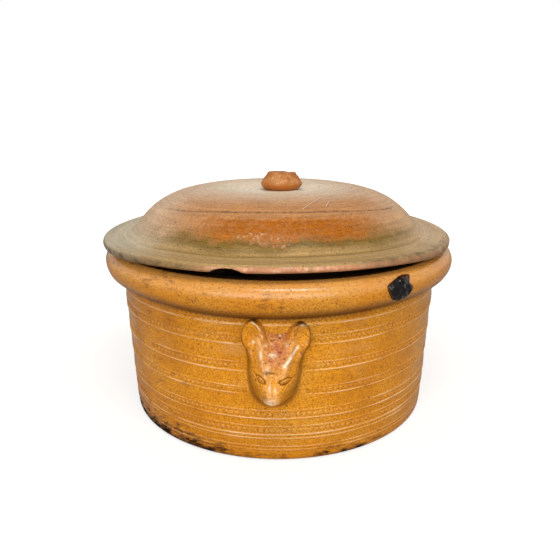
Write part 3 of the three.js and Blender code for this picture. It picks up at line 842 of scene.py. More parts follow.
class COOKPOT_OT_throw_lid(bpy.types.Operator):
    """Throws the lid, warps its flange and knocks a flake off it."""

    bl_idname = "cookpot.throw_lid"
    bl_label = "Throw Lid"

    def execute(self, context):
        lid = context.scene.lid_sizes
        pot = context.scene.pot_sizes
        seat = CROWN_Z - lid.crown_height - lid.thickness
        flange_top = seat + lid.thickness
        flat_edge = LID_RADIUS - lid.edge_radius
        flange_inner = LID_RADIUS - lid.flange_width
        shoulder = flange_inner - lid.shoulder_inset
        shoulder_z = CROWN_Z - lid.shoulder_drop
        collar = mouth_radius(pot) - lid.collar_clearance
        collar_inner = collar - lid.collar_thickness
        crown_low = CROWN_Z - lid.crown_sag
        under = crown_low - lid.thickness
        under_shoulder = shoulder - lid.thickness
        under_foot = (under_shoulder, shoulder_z - lid.thickness * 0.5)

        profile = curve((0, under), (under_shoulder * 0.68, under),
                        (under_shoulder * 0.86, under - lid.shoulder_drop * 0.22), under_foot, 14)
        collar_low, bevel = seat - lid.collar_depth, 1 * MM
        profile += [(collar_inner, seat), (collar_inner, collar_low + bevel)]
        profile += [(collar_inner + bevel, collar_low), (collar - bevel, collar_low)]
        profile += [(collar, collar_low + bevel), (collar, seat), (flat_edge - 8 * MM, seat)]
        edge_radii = (lid.edge_radius, lid.edge_radius)
        profile += arc((flat_edge, seat + lid.edge_radius), edge_radii, -90, 0, 10)
        profile += arc((flat_edge, flange_top - lid.edge_radius), edge_radii, 0, 90, 10)[1:]
        top_start = len(profile)
        profile += [(mix(flat_edge, flange_inner, i / 10), flange_top) for i in range(1, 10)]
        profile += curve((flange_inner, flange_top), (flange_inner - lid.shoulder_inset * 0.55, flange_top),
                         (shoulder + lid.shoulder_inset * 0.3, mix(shoulder_z, flange_top, 0.52)),
                         (shoulder, shoulder_z), 36)
        profile += curve((shoulder, shoulder_z), (shoulder * 0.86, CROWN_Z - lid.shoulder_drop * 0.2),
                         (shoulder * 0.68, CROWN_Z), (lid.crown_radius, CROWN_Z), 44)[1:]
        profile += curve((lid.crown_radius, CROWN_Z), (lid.crown_radius * 0.75, CROWN_Z),
                         (lid.crown_seat * 1.45, crown_low), (lid.crown_seat, crown_low), 24)[1:]
        profile += [(lid.crown_seat * 0.5, crown_low), (0, crown_low)]
        piece = throw("thrown_lid", profile, pot.turn_steps)

        def fire(co):
            """Adds the throwing rings, the worn edge and the warp, then sets the lid in its place."""
            radius = math.hypot(co.x, co.y)
            if radius < 1e-6:
                return Vector((LID_CENTRE, 0, co.z))
            on_top = radius > lid.crown_seat and co.z > flange_top - 1 * MM
            upper = smooth(co.z, seat + lid.thickness * 0.6, flange_top) if on_top else 0
            rings = 0.22 * MM * noise.noise(Vector((radius * 260, around(co) * 0.6, 0)))
            score = -0.45 * MM * bell(radius - self.score_radius(co), 0.7 * MM)
            groove = -0.5 * MM * bell(radius - GROOVE_SHARE * LID_RADIUS, 1.2 * MM)
            edge = smooth(radius, flat_edge - 1 * MM, LID_RADIUS)
            low_edge = edge * (1 - smooth(co.z, seat + 1 * MM, seat + lid.thickness * 0.8))
            bites = noise.noise(co * 130) + 0.6 * noise.noise(co * 330)
            inward = lid.nibble * (edge * 0.4 * bites - low_edge * max(bites - 0.1, 0))
            facing = (co.y / radius) ** 2
            warp = lid.flange_warp * (radius / LID_RADIUS) ** 2 * facing
            sway = 0.5 * MM * math.sin(3 * around(co) + 0.7) * (radius / LID_RADIUS) ** 3
            sway = max(sway, -0.2 * MM) * smooth(facing, 0.05, 0.4)
            grow = 1 + inward / radius
            worn = 1.9 * MM * smooth(-co.y / radius, 0.5, 0.9) * smooth(radius, flat_edge - 8 * MM, flat_edge)
            worn *= 1 - smooth(co.z, seat, seat + 5 * MM)
            lift = warp + sway + upper * (rings + score + groove) + worn
            return Vector((co.x * grow + LID_CENTRE, co.y * grow, co.z + lift))

        top_height = reader(profile[:top_start - 1:-1])

        def beneath(co):
            """1 under the lid, where its shade is painted dark, and 0.6 inside the collar."""
            radius = math.hypot(co.x, co.y)
            if radius > flat_edge - 4 * MM:
                return 0
            if co.z > top_height(radius) - lid.thickness * 0.4:
                return 0
            return mix(0.6, 1, smooth(radius, collar - 2 * MM, collar))

        def bared(co):
            """1 on the face of the flange's edge, where the ash has worn off."""
            edge = smooth(math.hypot(co.x, co.y), flat_edge - 2 * MM, flat_edge + 2 * MM)
            return edge * (1 - smooth(co.z, seat + lid.thickness * 0.7, seat + lid.thickness * 0.98))

        mark(piece, "beneath", beneath)
        mark(piece, "bared", bared)
        reshape(piece, fire)
        self.knock_flake(piece, lid, seat)
        finish_piece(piece, ash_clay(), "lid", "lid_dome", 40)
        return {"FINISHED"}

    def score_radius(self, co):
        """A line scored round the dome, not quite true."""
        return LID_RADIUS * (SCORE_SHARE + SCORE_BEND * math.sin(around(co)) ** 2)

    def knock_flake(self, piece, lid, seat):
        """Cuts the flake with a lumpy ball that reaches up from below the edge and in under the flange."""
        ball = (lid.chip_width ** 2 / 4 + lid.chip_depth ** 2) / (2 * lid.chip_depth)
        rise = lid.flange_warp * math.cos(lid.chip_angle) ** 2 + 1.7 * MM
        outward = wheel_point(1, lid.chip_angle, 0)
        centre = outward * LID_RADIUS + Vector((LID_CENTRE, 0, seat + rise + lid.chip_depth - ball))
        deselect_all()
        bpy.ops.mesh.primitive_ico_sphere_add(subdivisions=4, radius=ball, location=(0, 0, 0))
        cutter = bpy.context.object

        def lumpy(co):
            ragged = 1 + 0.018 * noise.noise(co * 150) + 0.012 * noise.noise(co * 420)
            return co * ragged + outward * co.dot(outward) * FLAKE_REACH + centre

        reshape(cutter, lumpy)
        cut = piece.modifiers.new("flake", "BOOLEAN")
        cut.operation = "DIFFERENCE"
        cut.object = cutter
        cut.solver = "EXACT"
        pick(piece)
        bpy.ops.object.modifier_apply(modifier=cut.name)
        bpy.data.objects.remove(cutter)
        # The flake's break is painted dark as shade, like the lid's underside
        painted_shade = piece.data.attributes["beneath"].data
        for vertex in piece.data.vertices:
            off = vertex.co - centre
            off -= outward * off.dot(outward) * FLAKE_REACH / (1 + FLAKE_REACH)
            if off.length < ball * 1.01 and vertex.co.z < centre.z + ball * 0.995:
                painted_shade[vertex.index].value = 1


class COOKPOT_OT_pinch_knob(bpy.types.Operator):
    """Pinches the squat knob and sticks it on the crown."""

    bl_idname = "cookpot.pinch_knob"
    bl_label = "Pinch Knob"

    def execute(self, context):
        lid = context.scene.lid_sizes
        tall = KNOB_HIGH.z - KNOB_LOW.z
        top, belly = lid.knob_top, lid.knob_belly
        edge = 1.5 * MM
        profile = [(0, 0), (lid.knob_foot * 0.5, 0)]
        profile += curve((lid.knob_foot, 0), (KNOB_RADIUS * 0.9, belly * 0.15), (KNOB_RADIUS, belly * 0.65),
                         (KNOB_RADIUS, belly), 14)
        profile += curve((KNOB_RADIUS, belly), (KNOB_RADIUS * 0.97, belly * 1.35), (top * 1.2, tall * 0.7),
                         (top, tall - edge), 16)[1:]
        profile += arc((top - edge, tall - edge), (edge, edge), 0, 90, 6)[1:]
        profile += [(top * i / 6, tall) for i in (4, 3, 2, 1)] + [(0, tall)]
        piece = throw("pinched_knob", profile, 96)

        def pinch(co):
            """Fingers left the lump uneven, with its top lower at the right."""
            angle = math.atan2(co.y, co.x)
            share = co.z / tall
            facets = 0.5 * MM * math.cos(5 * angle + 1.1) + 0.4 * MM * math.cos(3 * angle + 0.3)
            lumps = 0.9 * MM * noise.noise(co * 90) + 0.4 * MM * noise.noise(co * 260)
            grow = 1 + (facets + lumps) * smooth(share, 0.02, 0.3) / KNOB_RADIUS
            top_share = smooth(share, 0.7, 1)
            drop = top_share * (0.5 * MM * noise.noise(co * 150) - 0.4 * MM - 0.03 * co.x)
            sink = 0.4 * MM if share < 0.01 else 0
            return Vector((co.x * grow + KNOB_CENTRE, co.y * grow, KNOB_LOW.z + co.z + drop - sink))

        reshape(piece, pinch)
        finish_piece(piece, bare_terracotta(), "lid", "lid_knob", 45)
        return {"FINISHED"}


def feed(tree, node, values):
    """Sets or links a node's sockets, by name or in order. A node stands for its first output in use."""
    in_use = [socket for socket in node.inputs if socket.enabled]
    for key, value in values.items() if isinstance(values, dict) else enumerate(values):
        socket = node.inputs[key] if isinstance(key, str) else in_use[key]
        if isinstance(value, bpy.types.Node):
            value = next(output for output in value.outputs if output.enabled)
        if isinstance(value, bpy.types.NodeSocket):
            tree.links.new(value, socket)
        else:
            socket.default_value = (*value, 1) if socket.type == "RGBA" else value


def add(tree, kind, values=(), stops=(), **settings):
    """Adds a node with its settings, sockets and colour stops. A kind in capitals is an operation of Math."""
    if kind.isupper():
        settings["operation"] = kind
        kind = "Math"
    node = tree.nodes.new("ShaderNode" + kind)
    for name, value in settings.items():
        setattr(node, name, value)
    feed(tree, node, values)
    if stops:
        ramp = node.color_ramp.elements
        ramp.remove(ramp[1])
    for index, (position, colour) in enumerate(stops):
        stop = ramp.new(position) if index else ramp[0]
        stop.position = position
        stop.color = (*colour, 1)
    return node


def per(millimetres):
    """Texture scale for a feature of that size."""
    return 1 / (millimetres * MM)


def mix_tones(a, b, share):
    return tuple(mix(x, y, share) for x, y in zip(a, b))


def new_material(name):
    """A material with its nodes and shader, or the one that is there already, without them."""
    material = bpy.data.materials.get(name)
    if material:
        return material, None, None
    material = bpy.data.materials.new(name)
    material.use_nodes = True
    tree = material.node_tree
    return material, tree, tree.nodes["Principled BSDF"]


def iron_specks(tree, place, size, core, edge, strength, channel, least):
    """Specks, each solid to its core and gone at its edge, in the cells whose chance is over the least."""
    cell = add(tree, "TexVoronoi", (place, per(size)))
    spot = add(tree, "MapRange", (cell, core, edge, strength, 0))
    chance = add(tree, "SeparateColor", [cell.outputs["Color"]]).outputs[channel]
    chosen = add(tree, "GREATER_THAN", (chance, least))
    return add(tree, "MULTIPLY", (spot, chosen))


WHITE = (1, 1, 1)

# Licks of soot at the foot: degrees from the front, strength, and the cosine where each begins
SOOT_LICKS = [(-52, 0.5, 0.5), (25, 0.3, 0.94), (140, 0.3, 0.7)]


def salt_glaze():
    """Salt-glazed stoneware, fired in salt vapour: a thin honey glass, finely pitted, peppered with iron."""
    material, tree, shader = new_material("salt_glazed_stoneware")
    if tree is None:
        return material
    colours = bpy.context.scene.pot_colours
    pot = bpy.context.scene.pot_sizes
    rim_low = rim_bottom(pot)
    place = add(tree, "TexCoord").outputs["Object"]
    height = add(tree, "SeparateXYZ", [place]).outputs["Z"]
    on_plan = add(tree, "VectorMath", (place, (1, 1, 0)), operation="MULTIPLY")
    radius = add(tree, "VectorMath", [on_plan], operation="LENGTH")
    thin, rust, pool_and_shade, worn = [
        add(tree, "Attribute", attribute_name=name).outputs["Fac"] for name in GLAZE_LAYERS]

    # The glaze pools and thins in soft clouds, with a finer mottle, and lies thick by the foot and on the rim
    cloud = add(tree, "TexNoise", (place, per(42), 4))
    body = add(tree, "ValToRGB", [cloud], stops=[
        (0.32, mix_tones(colours.honey, colours.honey_deep, 0.55)), (0.5, colours.honey),
        (0.7, colours.honey_pale)])
    mottle = add(tree, "TexNoise", (place, per(1.3), 3))
    mottled = add(tree, "MapRange", (mottle, 0.4, 0.62, 0, 0.75))
    level = add(tree, "MapRange", (height, 0, POT_HEIGHT))
    thick = add(tree, "ValToRGB", [level], stops=[
        (share, (grey,) * 3) for share, grey in ((0.05, 0.4), (0.3, 0), (0.82, 0), (0.9, 0.3))])

    # Iron specks in two sizes, the fine ones fainter on the wall than on the rim
    fine_specks = iron_specks(tree, place, 1.9, 0.16, 0.36, 0.85, "Red", 0.3)
    bold_specks = iron_specks(tree, place, 6, 0.06, 0.17, 0.75, "Green", 0.6)
    speck_span = add(tree, "MapRange", (height, rim_low - 3 * MM, rim_low + 6 * MM, 0.62, 0.85))
    fine_share = add(tree, "MULTIPLY", (fine_specks, speck_span))

    # Thin glaze that the shapes carry, partly a painted highlight, rusty glaze, pooled glaze with painted
    # shade, and the rim's top, which is rubbed and paled as painted sheen
    rub_space = add(tree, "Mapping", {"Vector": place, "Scale": (1, 1, 14)})
    rub = add(tree, "TexNoise", (rub_space, per(14), 5, 0.7))
    rim_top_zone = add(tree, "MapRange", (height, POT_HEIGHT - 12 * MM, POT_HEIGHT - 7 * MM, 0, 0.5))
    rubbed = add(tree, "MULTIPLY", (rub, rim_top_zone))
    thin_most = add(tree, "MAXIMUM", (thin, rubbed))
    thin_share = add(tree, "MULTIPLY", (thin_most, 0.62))
    rust_patch = add(tree, "MULTIPLY", (rust, mottle))
    pool_and_shade_share = add(tree, "MULTIPLY", (pool_and_shade, 0.92))

    # Soot licked up round the foot, most at the left of the front, some at the right and behind
    soot_space = add(tree, "Mapping", {"Vector": place, "Scale": (1, 1, 3)})
    soot_noise = add(tree, "TexNoise", (soot_space, per(11), 8, 0.68))
    low = add(tree, "MapRange", (height, 0, 20 * MM, 0.2, -0.4))
    licked = add(tree, "MULTIPLY_ADD", (soot_noise, 1.7, low))
    for degrees, strength, start in SOOT_LICKS:
        way = wheel_point(1, math.radians(degrees), 0) / pot.foot_radius
        facing = add(tree, "VectorMath", (place, way), operation="DOT_PRODUCT")
        lick = add(tree, "MapRange", (facing, start, 1, 0, strength))
        licked = add(tree, "ADD", (licked, lick))
    scorch = add(tree, "MapRange", (licked, 1.02, 1.36, 0, 0.85))
    soot = add(tree, "MapRange", (licked, 1.22, 1.44, 0, 0.95))

    # Inside, the glaze is thin and brown, and the seat under the lid is painted dark as its shade
    inner_wall = pot.wall_radius - pot.wall_thickness
    within = add(tree, "MapRange", (radius, inner_wall + 0.2 * MM, inner_wall + 1.2 * MM, 1, 0))
    above_foot = add(tree, "MapRange", (height, pot.foot_edge, pot.floor_thickness - 1 * MM))
    inner = add(tree, "MULTIPLY", (within, above_foot))
    crest = RIM_RADIUS - rim_roll(pot)
    seat = add(tree, "MapRange", (radius, crest + 1 * MM, crest + 2.5 * MM, 1, 0))
    mouth_z = POT_HEIGHT - pot.mouth_edge
    high = add(tree, "MapRange", (height, rim_low - 7 * MM, mouth_z - 1 * MM, 0, 0.96))
    painted_shade = add(tree, "MULTIPLY", (seat, high))

    # Each mask lays its colour over the last: the pool mask paints pooled glaze and shade, the worn and thin
    # masks partly paint highlights, and the seat's mask paints its shade
    surface = body
    for mask, colour in (
        (mottled, colours.honey_deep), (thick, colours.honey_deep), (fine_share, colours.iron_speck),
        (bold_specks, colours.iron_speck), (thin_share, colours.thin_glaze), (rust_patch, colours.rust),
        (pool_and_shade_share, colours.iron_speck), (worn, colours.worn), (scorch, colours.iron_speck),
        (soot, colours.soot), (inner, colours.inside), (painted_shade, colours.soot),
    ):
        surface = add(tree, "Mix", (mask, surface, colour), data_type="RGBA")

    # Gloss is broken by the mottle, and killed by soot, rubbing and bare clay
    gloss = add(tree, "MapRange", (mottle, 0.3, 0.7, 0.1, 0.3))
    wiped = add(tree, "MapRange", (rub, 0.46, 0.58, 0, 0.45))
    dull = add(tree, "MULTIPLY", (wiped, rim_top_zone))
    for bare in (soot, worn, rust_patch):
        dull = add(tree, "MAXIMUM", (dull, bare))
    rough = add(tree, "Mix", (dull, gloss, 0.7), data_type="FLOAT")
    # Sheen is stronger on the rim, and lower on soot, pooled glaze and painted shade
    soot_and_shade = soot
    for shade_mark in (painted_shade, pool_and_shade_share):
        soot_and_shade = add(tree, "MAXIMUM", (soot_and_shade, shade_mark))
    coat = add(tree, "MapRange", (height, rim_low, POT_HEIGHT - pot.rim_rise, 0.3, 0.42))
    clean = add(tree, "MapRange", (soot_and_shade, 0, 1, 1, 0.12))
    sheen = add(tree, "MULTIPLY", (coat, clean))

    # Orange peel, with a pit at each fine speck
    peel = add(tree, "TexNoise", (place, per(2.4), 3))
    skin = add(tree, "Bump", {"Strength": 0.5, "Distance": 0.12 * MM, "Height": peel})
    pitted = {"Strength": 0.35, "Distance": 0.12 * MM, "Height": fine_specks, "Normal": skin}
    pits = add(tree, "Bump", pitted, invert=True)
    feed(tree, shader, {"Base Color": surface, "Roughness": rough, "Specular IOR Level": sheen, "IOR": 1.5,
                        "Normal": pits})
    return material


# Two scratches on the dome, each from one point to another on the plan, in millimetres
SCRATCHES = [((17.7, -92.1), (31.6, -70.2)), ((35, -84.2), (38.7, -73.8))]

# Direction that the flame came from, as an angle from the front
FLAME_ANGLE = 0.1


def ash_clay():
    """Lid clay, bare but for kiln ash: greyed crown, paled further as painted sheen, pink dome, an amber run
    of glass and an olive foot.
    """
    material, tree, shader = new_material("ash_flashed_clay")
    if tree is None:
        return material
    colours = bpy.context.scene.pot_colours
    place = add(tree, "TexCoord").outputs["Object"]
    bared, beneath = [
        add(tree, "Attribute", attribute_name=name).outputs["Fac"] for name in ("bared", "beneath")]
    centred = add(tree, "VectorMath", (place, (LID_CENTRE, 0, 0)), operation="SUBTRACT")
    on_plan = add(tree, "VectorMath", (centred, (1, 1, 0)), operation="MULTIPLY")
    radius = add(tree, "VectorMath", [on_plan], operation="LENGTH")
    share = add(tree, "DIVIDE", (radius, LID_RADIUS))
    axes = add(tree, "SeparateXYZ", [centred])
    forward = add(tree, "MULTIPLY", (axes.outputs["Y"], -1))
    angle = add(tree, "ARCTAN2", (axes.outputs["X"], forward))

    # Bands drift in and out with the flame, which came from the front
    drift = add(tree, "TexNoise", (place, per(26), 6, 0.62))
    drift_span = add(tree, "MapRange", (drift, 0.2, 0.8, -0.028, 0.028))
    band = add(tree, "ADD", (share, drift_span))
    # Both ramps start from the crown's tone, which is partly painted sheen
    front = add(tree, "ValToRGB", [band], stops=[
        (0.2, colours.crown), (0.45, mix_tones(colours.crown, colours.blush, 0.55)), (0.6, colours.blush),
        (0.74, colours.blush), (0.79, mix_tones(colours.blush, colours.olive, 0.7)), (0.806, colours.olive),
        (0.828, mix_tones(colours.olive, colours.flange_ash, 0.5)), (0.855, colours.flange_ash)])
    sides = add(tree, "ValToRGB", [band], stops=[
        (0.2, colours.crown), (0.5, mix_tones(colours.crown, colours.blush, 0.6)),
        (0.72, mix_tones(colours.blush, colours.crown, 0.35)),
        (0.8, mix_tones(colours.blush, colours.side_ash, 0.6)), (0.88, colours.side_ash),
        (1, mix_tones(colours.side_ash, colours.burnt_edge, 0.2))])
    toward = add(tree, "VectorMath", (centred, wheel_point(1, FLAME_ANGLE, 0)), operation="DOT_PRODUCT")
    facing = add(tree, "DIVIDE", (toward, radius))
    ragged = add(tree, "MULTIPLY_ADD", (drift, 0.5, facing))
    flame = add(tree, "MapRange", (ragged, 0.62, 1.12), interpolation_type="SMOOTHSTEP")
    to_right = add(tree, "MapRange", (axes.outputs["X"], 30 * MM, 130 * MM, 0, 0.5))

    # Amber run of glass, ragged at its ends, and an olive groove at the foot of the dome
    fleck = add(tree, "TexNoise", (place, per(4), 6, 0.7))
    amber_sum = fleck
    limits = ((band, 0.675, 0.715, -0.5, 0), (band, 0.772, 0.832, 0, -0.6), (facing, 0.72, 0.93, -0.55, 0))
    for limit in limits:
        amber_sum = add(tree, "ADD", (amber_sum, add(tree, "MapRange", limit)))
    amber = add(tree, "MapRange", (amber_sum, 0.12, 0.54, 0, 0.97))
    groove_off = add(tree, "SUBTRACT", (share, GROOVE_SHARE))
    groove_far = add(tree, "ABSOLUTE", [groove_off])
    groove_mask = add(tree, "MapRange", (groove_far, 0.002, 0.012, 0.6, 0))
    groove = add(tree, "MULTIPLY", (groove_mask, flame))
    surface = sides
    for mask, colour in (
        (to_right, colours.warm_ash), (flame, front), (amber, colours.amber), (groove, colours.olive),
    ):
        surface = add(tree, "Mix", (mask, surface, colour), data_type="RGBA")

    # Fine streaks that run round with the throwing, and the clay's grain
    ring_steps = add(tree, "MULTIPLY", (radius, per(2.2)))
    round_steps = add(tree, "MULTIPLY", (angle, 2.2))
    streak_space = add(tree, "CombineXYZ", (ring_steps, round_steps))
    streak = add(tree, "TexNoise", (streak_space, 1, 5, 0.65))
    grain = add(tree, "TexNoise", (place, per(1.2), 4))
    for pattern, darkest, lightest in ((streak, 0.74, 1.2), (grain, 0.7, 1.25)):
        tint = add(tree, "MapRange", (pattern, 0.3, 0.7, darkest, lightest))
        surface = add(tree, "Mix", (1, surface, tint), data_type="RGBA", blend_type="MULTIPLY")

    # Dark specks, and a line scored round the dome, which is broken and runs out at the sides
    specks = iron_specks(tree, place, 4.5, 0.09, 0.17, 0.75, "Red", 0.55)
    sideways = add(tree, "SINE", [angle])
    square = add(tree, "POWER", (sideways, 2))
    line_bend = add(tree, "MULTIPLY_ADD", (square, SCORE_BEND, SCORE_SHARE - SCORE_DRIFT / 2))
    line_place = add(tree, "MULTIPLY_ADD", (drift, SCORE_DRIFT, line_bend))
    line_off = add(tree, "SUBTRACT", (share, line_place))
    line_far = add(tree, "ABSOLUTE", [line_off])
    line = add(tree, "MapRange", (line_far, 0.0015, 0.008, 1, 0))
    for limit in ((fleck, 0.42, 0.6, 0.25, 0.95), (facing, 0.3, 0.6, 0, 0.85)):
        line = add(tree, "MULTIPLY", (line, add(tree, "MapRange", limit)))
    layers = [(specks, colours.burnt_edge), (line, colours.burnt_edge)]

    # Scratches, each a dark line with a painted highlight along one side
    scratch_highlight = mix_tones(colours.blush, colours.crown, 0.6)
    dark_edge = mix_tones(colours.rust, colours.burnt_edge, 0.4)
    for ends in SCRATCHES:
        start, end = [Vector(point) * MM for point in ends]
        stroke = end - start
        way = stroke.normalized()
        half = stroke.length / 2
        from_start = add(tree, "VectorMath", (place, (*start, 0)), operation="SUBTRACT")
        along = add(tree, "VectorMath", (from_start, (*way, 0)), operation="DOT_PRODUCT")
        across = add(tree, "VectorMath", (from_start, (-way.y, way.x, 0)), operation="DOT_PRODUCT")
        on_length = add(tree, "COMPARE", (along, half, half))
        for side, colour in ((0.32 * MM, scratch_highlight), (-0.28 * MM, dark_edge)):
            on_width = add(tree, "COMPARE", (across, side, 0.3 * MM))
            layers.append((add(tree, "MULTIPLY", (on_length, on_width)), colour))

    # Whitish crust at the foot of the amber
    crust = add(tree, "MapRange", (fleck, 0.53, 0.7, 0, 0.5))
    for zone in ((band, 0.785, 0.02), (angle, -0.08, 0.17)):
        crust = add(tree, "MULTIPLY", (crust, add(tree, "COMPARE", zone)))

    # Edge: pink clay bared from the front round to the right, smoked elsewhere, and scorched at the right
    edge_noise = add(tree, "TexNoise", (place, per(8), 6, 0.65))
    bare_sum = add(tree, "MULTIPLY_ADD", (bared, 0.5, edge_noise))
    bare_start = add(tree, "MapRange", (angle, -0.45, -0.24), interpolation_type="SMOOTHSTEP")
    bare_back = add(tree, "MapRange", (angle, 1.6, 2.7, 1, 0), interpolation_type="SMOOTHSTEP")
    bare_round = add(tree, "MULTIPLY", (bare_start, bare_back))
    bare = bare_round
    for limit in ((bare_sum, 0.78, 0.9, 0, 0.9), (angle, 0.25, 0.8, 1, 0.45)):
        bare = add(tree, "MULTIPLY", (bare, add(tree, "MapRange", limit)))
    bare_tone = add(tree, "ValToRGB", [fleck], stops=[
        (0.36, mix_tones(colours.bare_edge, colours.burnt_edge, 0.4)), (0.5, colours.bare_edge),
        (0.68, mix_tones(colours.bare_edge, colours.worn, 0.55))])
    smoked = add(tree, "MapRange", (edge_noise, 0.35, 0.62, 0.85, 0.25))
    for limit in (add(tree, "SUBTRACT", (1, bare_round)), bared):
        smoked = add(tree, "MULTIPLY", (smoked, limit))
    scorch_zone = add(tree, "MapRange", (share, 0.91, 0.99, -0.22, 0.16))
    scorch_sum = add(tree, "ADD", (edge_noise, scorch_zone))
    for limit in ((angle, 0.2, 0.6, -0.2, 0), (angle, 1, 1.5, 0, -0.15)):
        scorch_end = add(tree, "MapRange", limit, interpolation_type="SMOOTHSTEP")
        scorch_sum = add(tree, "ADD", (scorch_sum, scorch_end))
    scorch = add(tree, "MapRange", (scorch_sum, 0.48, 0.8, 0, 0.75))
    # The underside and the flake's break are painted dark as shade
    painted_shade = add(tree, "MULTIPLY", (beneath, 0.97))
    layers += [(crust, colours.crown), (bare, bare_tone), (smoked, colours.burnt_edge),
               (scorch, colours.burnt_edge), (painted_shade, colours.soot)]
    for mask, colour in layers:
        surface = add(tree, "Mix", (mask, surface, colour), data_type="RGBA")

    # The amber run is smoother than the rest, and the painted shade underneath is dead matt
    rough = add(tree, "MapRange", (amber, 0, 1, 0.5, 0.32))
    amber_sheen = add(tree, "MapRange", (amber, 0, 1, 0.24, 0.13))
    sheen = add(tree, "Mix", (painted_shade, amber_sheen, 0), data_type="FLOAT")
    skin = {}
    for pattern, strength, depth in ((streak, 0.5, 0.25), (grain, 0.5, 0.25), (fleck, 0.4, 0.5)):
        rise = {"Strength": strength, "Distance": depth * MM, "Height": pattern}
        skin = {"Normal": add(tree, "Bump", rise | skin)}
    feed(tree, shader, {"Base Color": surface, "Roughness": rough, "Specular IOR Level": sheen} | skin)
    return material


def bare_terracotta():
    """Terracotta, pinched and unglazed: dull orange with pinkish rubs above, a smooth amber flash below."""
    material, tree, shader = new_material("unglazed_terracotta")
    if tree is None:
        return material
    colours = bpy.context.scene.pot_colours
    place = add(tree, "TexCoord").outputs["Object"]
    height = add(tree, "SeparateXYZ", [place]).outputs["Z"]
    cloud = add(tree, "TexNoise", (place, per(9), 5, 0.6))
    body = add(tree, "ValToRGB", [cloud], stops=[
        (0.3, mix_tones(colours.terracotta, colours.iron_speck, 0.3)), (0.5, colours.terracotta),
        (0.72, mix_tones(colours.terracotta, colours.thin_glaze, 0.3))])
    pores = add(tree, "TexNoise", (place, per(1.1), 4))
    pore_tint = add(tree, "MapRange", (pores, 0.3, 0.7, 0.62, 1.25))
    porous = add(tree, "Mix", (1, body, pore_tint), data_type="RGBA", blend_type="MULTIPLY")
    flash = mix_tones(colours.terracotta, colours.amber, 0.5)
    flash_low, flash_high = [mix(KNOB_LOW.z, KNOB_HIGH.z, share) for share in (0.25, 0.5)]
    above = add(tree, "MapRange", (height, flash_low, flash_high), interpolation_type="SMOOTHSTEP")
    surface = add(tree, "Mix", (above, flash, porous), data_type="RGBA")
    rough = add(tree, "MapRange", (above, 0, 1, 0.4, 0.62))
    bump = add(tree, "Bump", {"Strength": 0.7, "Distance": 0.5 * MM, "Height": pores})
    feed(tree, shader, {"Base Color": surface, "Roughness": rough, "Specular IOR Level": 0.25,
                        "Normal": bump})
    return material


def kiln_glass():
    """Kiln glass, dripped from the roof: almost black, mirror-smooth, brown where it is thin."""
    material, tree, shader = new_material("dripped_kiln_glass")
    if tree is None:
        return material
    colours = bpy.context.scene.pot_colours
    place = add(tree, "TexCoord").outputs["Object"]
    cloud = add(tree, "TexNoise", (place, per(3.5), 4))
    thin = add(tree, "Attribute", attribute_name="thin").outputs["Fac"]
    thin_patch = add(tree, "MULTIPLY", (thin, cloud))
    surface = add(tree, "Mix", (thin_patch, colours.glass, colours.thin_glass), data_type="RGBA")
    lumps = add(tree, "TexNoise", (place, per(2), 2))
    ripple = add(tree, "Bump", {"Strength": 0.6, "Distance": 0.6 * MM, "Height": lumps})
    feed(tree, shader, {"Base Color": surface, "Roughness": 0.06, "Specular IOR Level": 0.3, "IOR": 1.52,
                        "Normal": ripple})
    return material


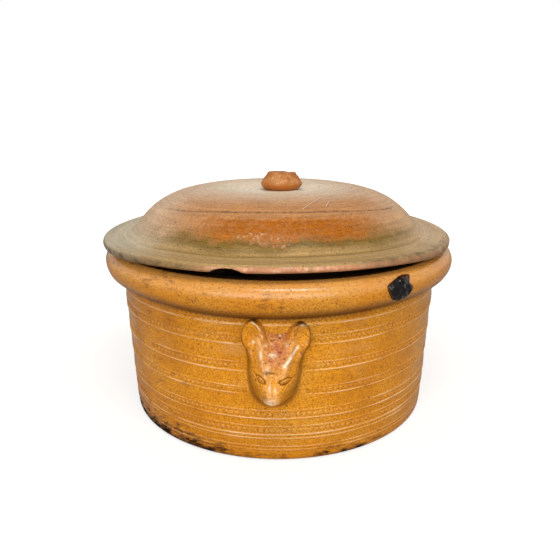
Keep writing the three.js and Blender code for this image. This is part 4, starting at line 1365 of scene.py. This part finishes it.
class COOKPOT_OT_set_stage(bpy.types.Operator):
    """Sets the pale floor, the soft lamps and the camera."""

    bl_idname = "cookpot.set_stage"
    bl_label = "Set Stage"

    def execute(self, context):
        stage = context.scene.stage_settings
        self.lay_floor()
        self.hang_lamps(stage)
        self.place_camera(context, stage)
        self.light_sky(context, stage)
        context.scene.view_settings.view_transform = "Standard"
        return {"FINISHED"}

    def lay_floor(self):
        """A pale floor that fades to white away from the pot, and keeps its shadow."""
        deselect_all()
        bpy.ops.mesh.primitive_plane_add(size=30, location=(0, 0, 0))
        floor = bpy.context.object
        floor.name = "pale_floor"
        material, tree, shader = new_material("pale_paper")
        place = add(tree, "TexCoord").outputs["Object"]
        far = add(tree, "VectorMath", [place], operation="LENGTH")
        fade = add(tree, "MapRange", (far, 0.2, 0.65, 0.66, 1), interpolation_type="SMOOTHSTEP")
        seen = add(tree, "LightPath").outputs["Is Camera Ray"]
        lift = add(tree, "MULTIPLY", (seen, fade))
        feed(tree, shader, {"Base Color": linear("#a8a5a0"), "Roughness": 0.9, "Specular IOR Level": 0,
                            "Emission Color": WHITE, "Emission Strength": lift})
        floor.data.materials.append(material)

    def hang_lamps(self, stage):
        for name, place, width, depth, power in (
            ("overhead_softbox", (0.1, -0.75, 1.35), 0.75, 0.17, stage.top_power),
            ("front_softbox", (-0.1, -1.5, 0.5), 2.2, 0.8, stage.front_power),
        ):
            deselect_all()
            bpy.ops.object.light_add(type="AREA", location=place)
            lamp = bpy.context.object
            lamp.name = name
            lamp.data.energy = power
            lamp.data.shape = "RECTANGLE"
            lamp.data.size = width
            lamp.data.size_y = depth
            aim = Vector((0, 0, 0.1)) - Vector(place)
            lamp.rotation_euler = aim.to_track_quat("-Z", "Y").to_euler()

    def place_camera(self, context, stage):
        data = bpy.data.cameras.new("photo_camera")
        data.lens = stage.lens
        data.clip_start = 0.01
        camera = bpy.data.objects.new("photo_camera", data)
        context.collection.objects.link(camera)
        camera.location = (stage.camera_side, -stage.camera_distance, stage.camera_height)
        camera.rotation_euler = (math.pi / 2 - stage.camera_pitch, 0, 0)
        context.scene.camera = camera

    def light_sky(self, context, stage):
        """A white sky to the eye, which lights the pot evenly and a little more from behind."""
        world = bpy.data.worlds.new("even_sky")
        context.scene.world = world
        world.use_nodes = True
        tree = world.node_tree
        rays = add(tree, "LightPath").outputs
        seen = add(tree, "MAXIMUM", (rays["Is Camera Ray"], rays["Is Transmission Ray"]))
        depth = add(tree, "SeparateXYZ", [add(tree, "TexCoord").outputs["Generated"]]).outputs["Y"]
        span = (depth, -0.5, 0.5, stage.sky_power, 0.7)
        light = add(tree, "MapRange", span, interpolation_type="SMOOTHSTEP")
        power = add(tree, "Mix", (seen, light, 1), data_type="FLOAT")
        feed(tree, tree.nodes["Background"], {"Color": WHITE, "Strength": power})


class COOKPOT_PT_sidebar(bpy.types.Panel):
    """Lists the pot's steps and its main sizes."""

    bl_idname = "COOKPOT_PT_sidebar"
    bl_label = "Lidded Pot"
    bl_space_type = "VIEW_3D"
    bl_region_type = "UI"
    bl_category = "Pot"

    def draw(self, context):
        for operator in OPERATORS:
            self.layout.operator(operator.bl_idname)
        for group in GROUPS:
            settings = getattr(context.scene, group)
            box = self.layout.box()
            for name in settings.bl_rna.properties.keys():
                if name not in ("rna_type", "name"):
                    box.prop(settings, name)


GROUPS = {
    "pot_sizes": PotSizes,
    "lid_sizes": LidSizes,
    "lug_sizes": LugSizes,
    "pot_colours": PotColours,
    "stage_settings": StageSettings,
}
OPERATORS = (
    COOKPOT_OT_throw_pot,
    COOKPOT_OT_stamp_beads,
    COOKPOT_OT_press_lugs,
    COOKPOT_OT_run_drip,
    COOKPOT_OT_throw_lid,
    COOKPOT_OT_pinch_knob,
    COOKPOT_OT_set_stage,
)


def register():
    for name, group in GROUPS.items():
        bpy.utils.register_class(group)
        setattr(bpy.types.Scene, name, PointerProperty(type=group))
    for operator in OPERATORS:
        bpy.utils.register_class(operator)
    bpy.utils.register_class(COOKPOT_PT_sidebar)


def unregister():
    bpy.utils.unregister_class(COOKPOT_PT_sidebar)
    for operator in reversed(OPERATORS):
        bpy.utils.unregister_class(operator)
    for name, group in reversed(GROUPS.items()):
        delattr(bpy.types.Scene, name)
        bpy.utils.unregister_class(group)


def main():
    register()
    bpy.ops.cookpot.throw_pot()
    bpy.ops.cookpot.stamp_beads()
    bpy.ops.cookpot.press_lugs()
    bpy.ops.cookpot.run_drip()
    bpy.ops.cookpot.throw_lid()
    bpy.ops.cookpot.pinch_knob()
    bpy.ops.cookpot.set_stage()


if __name__ == "__main__":
    main()
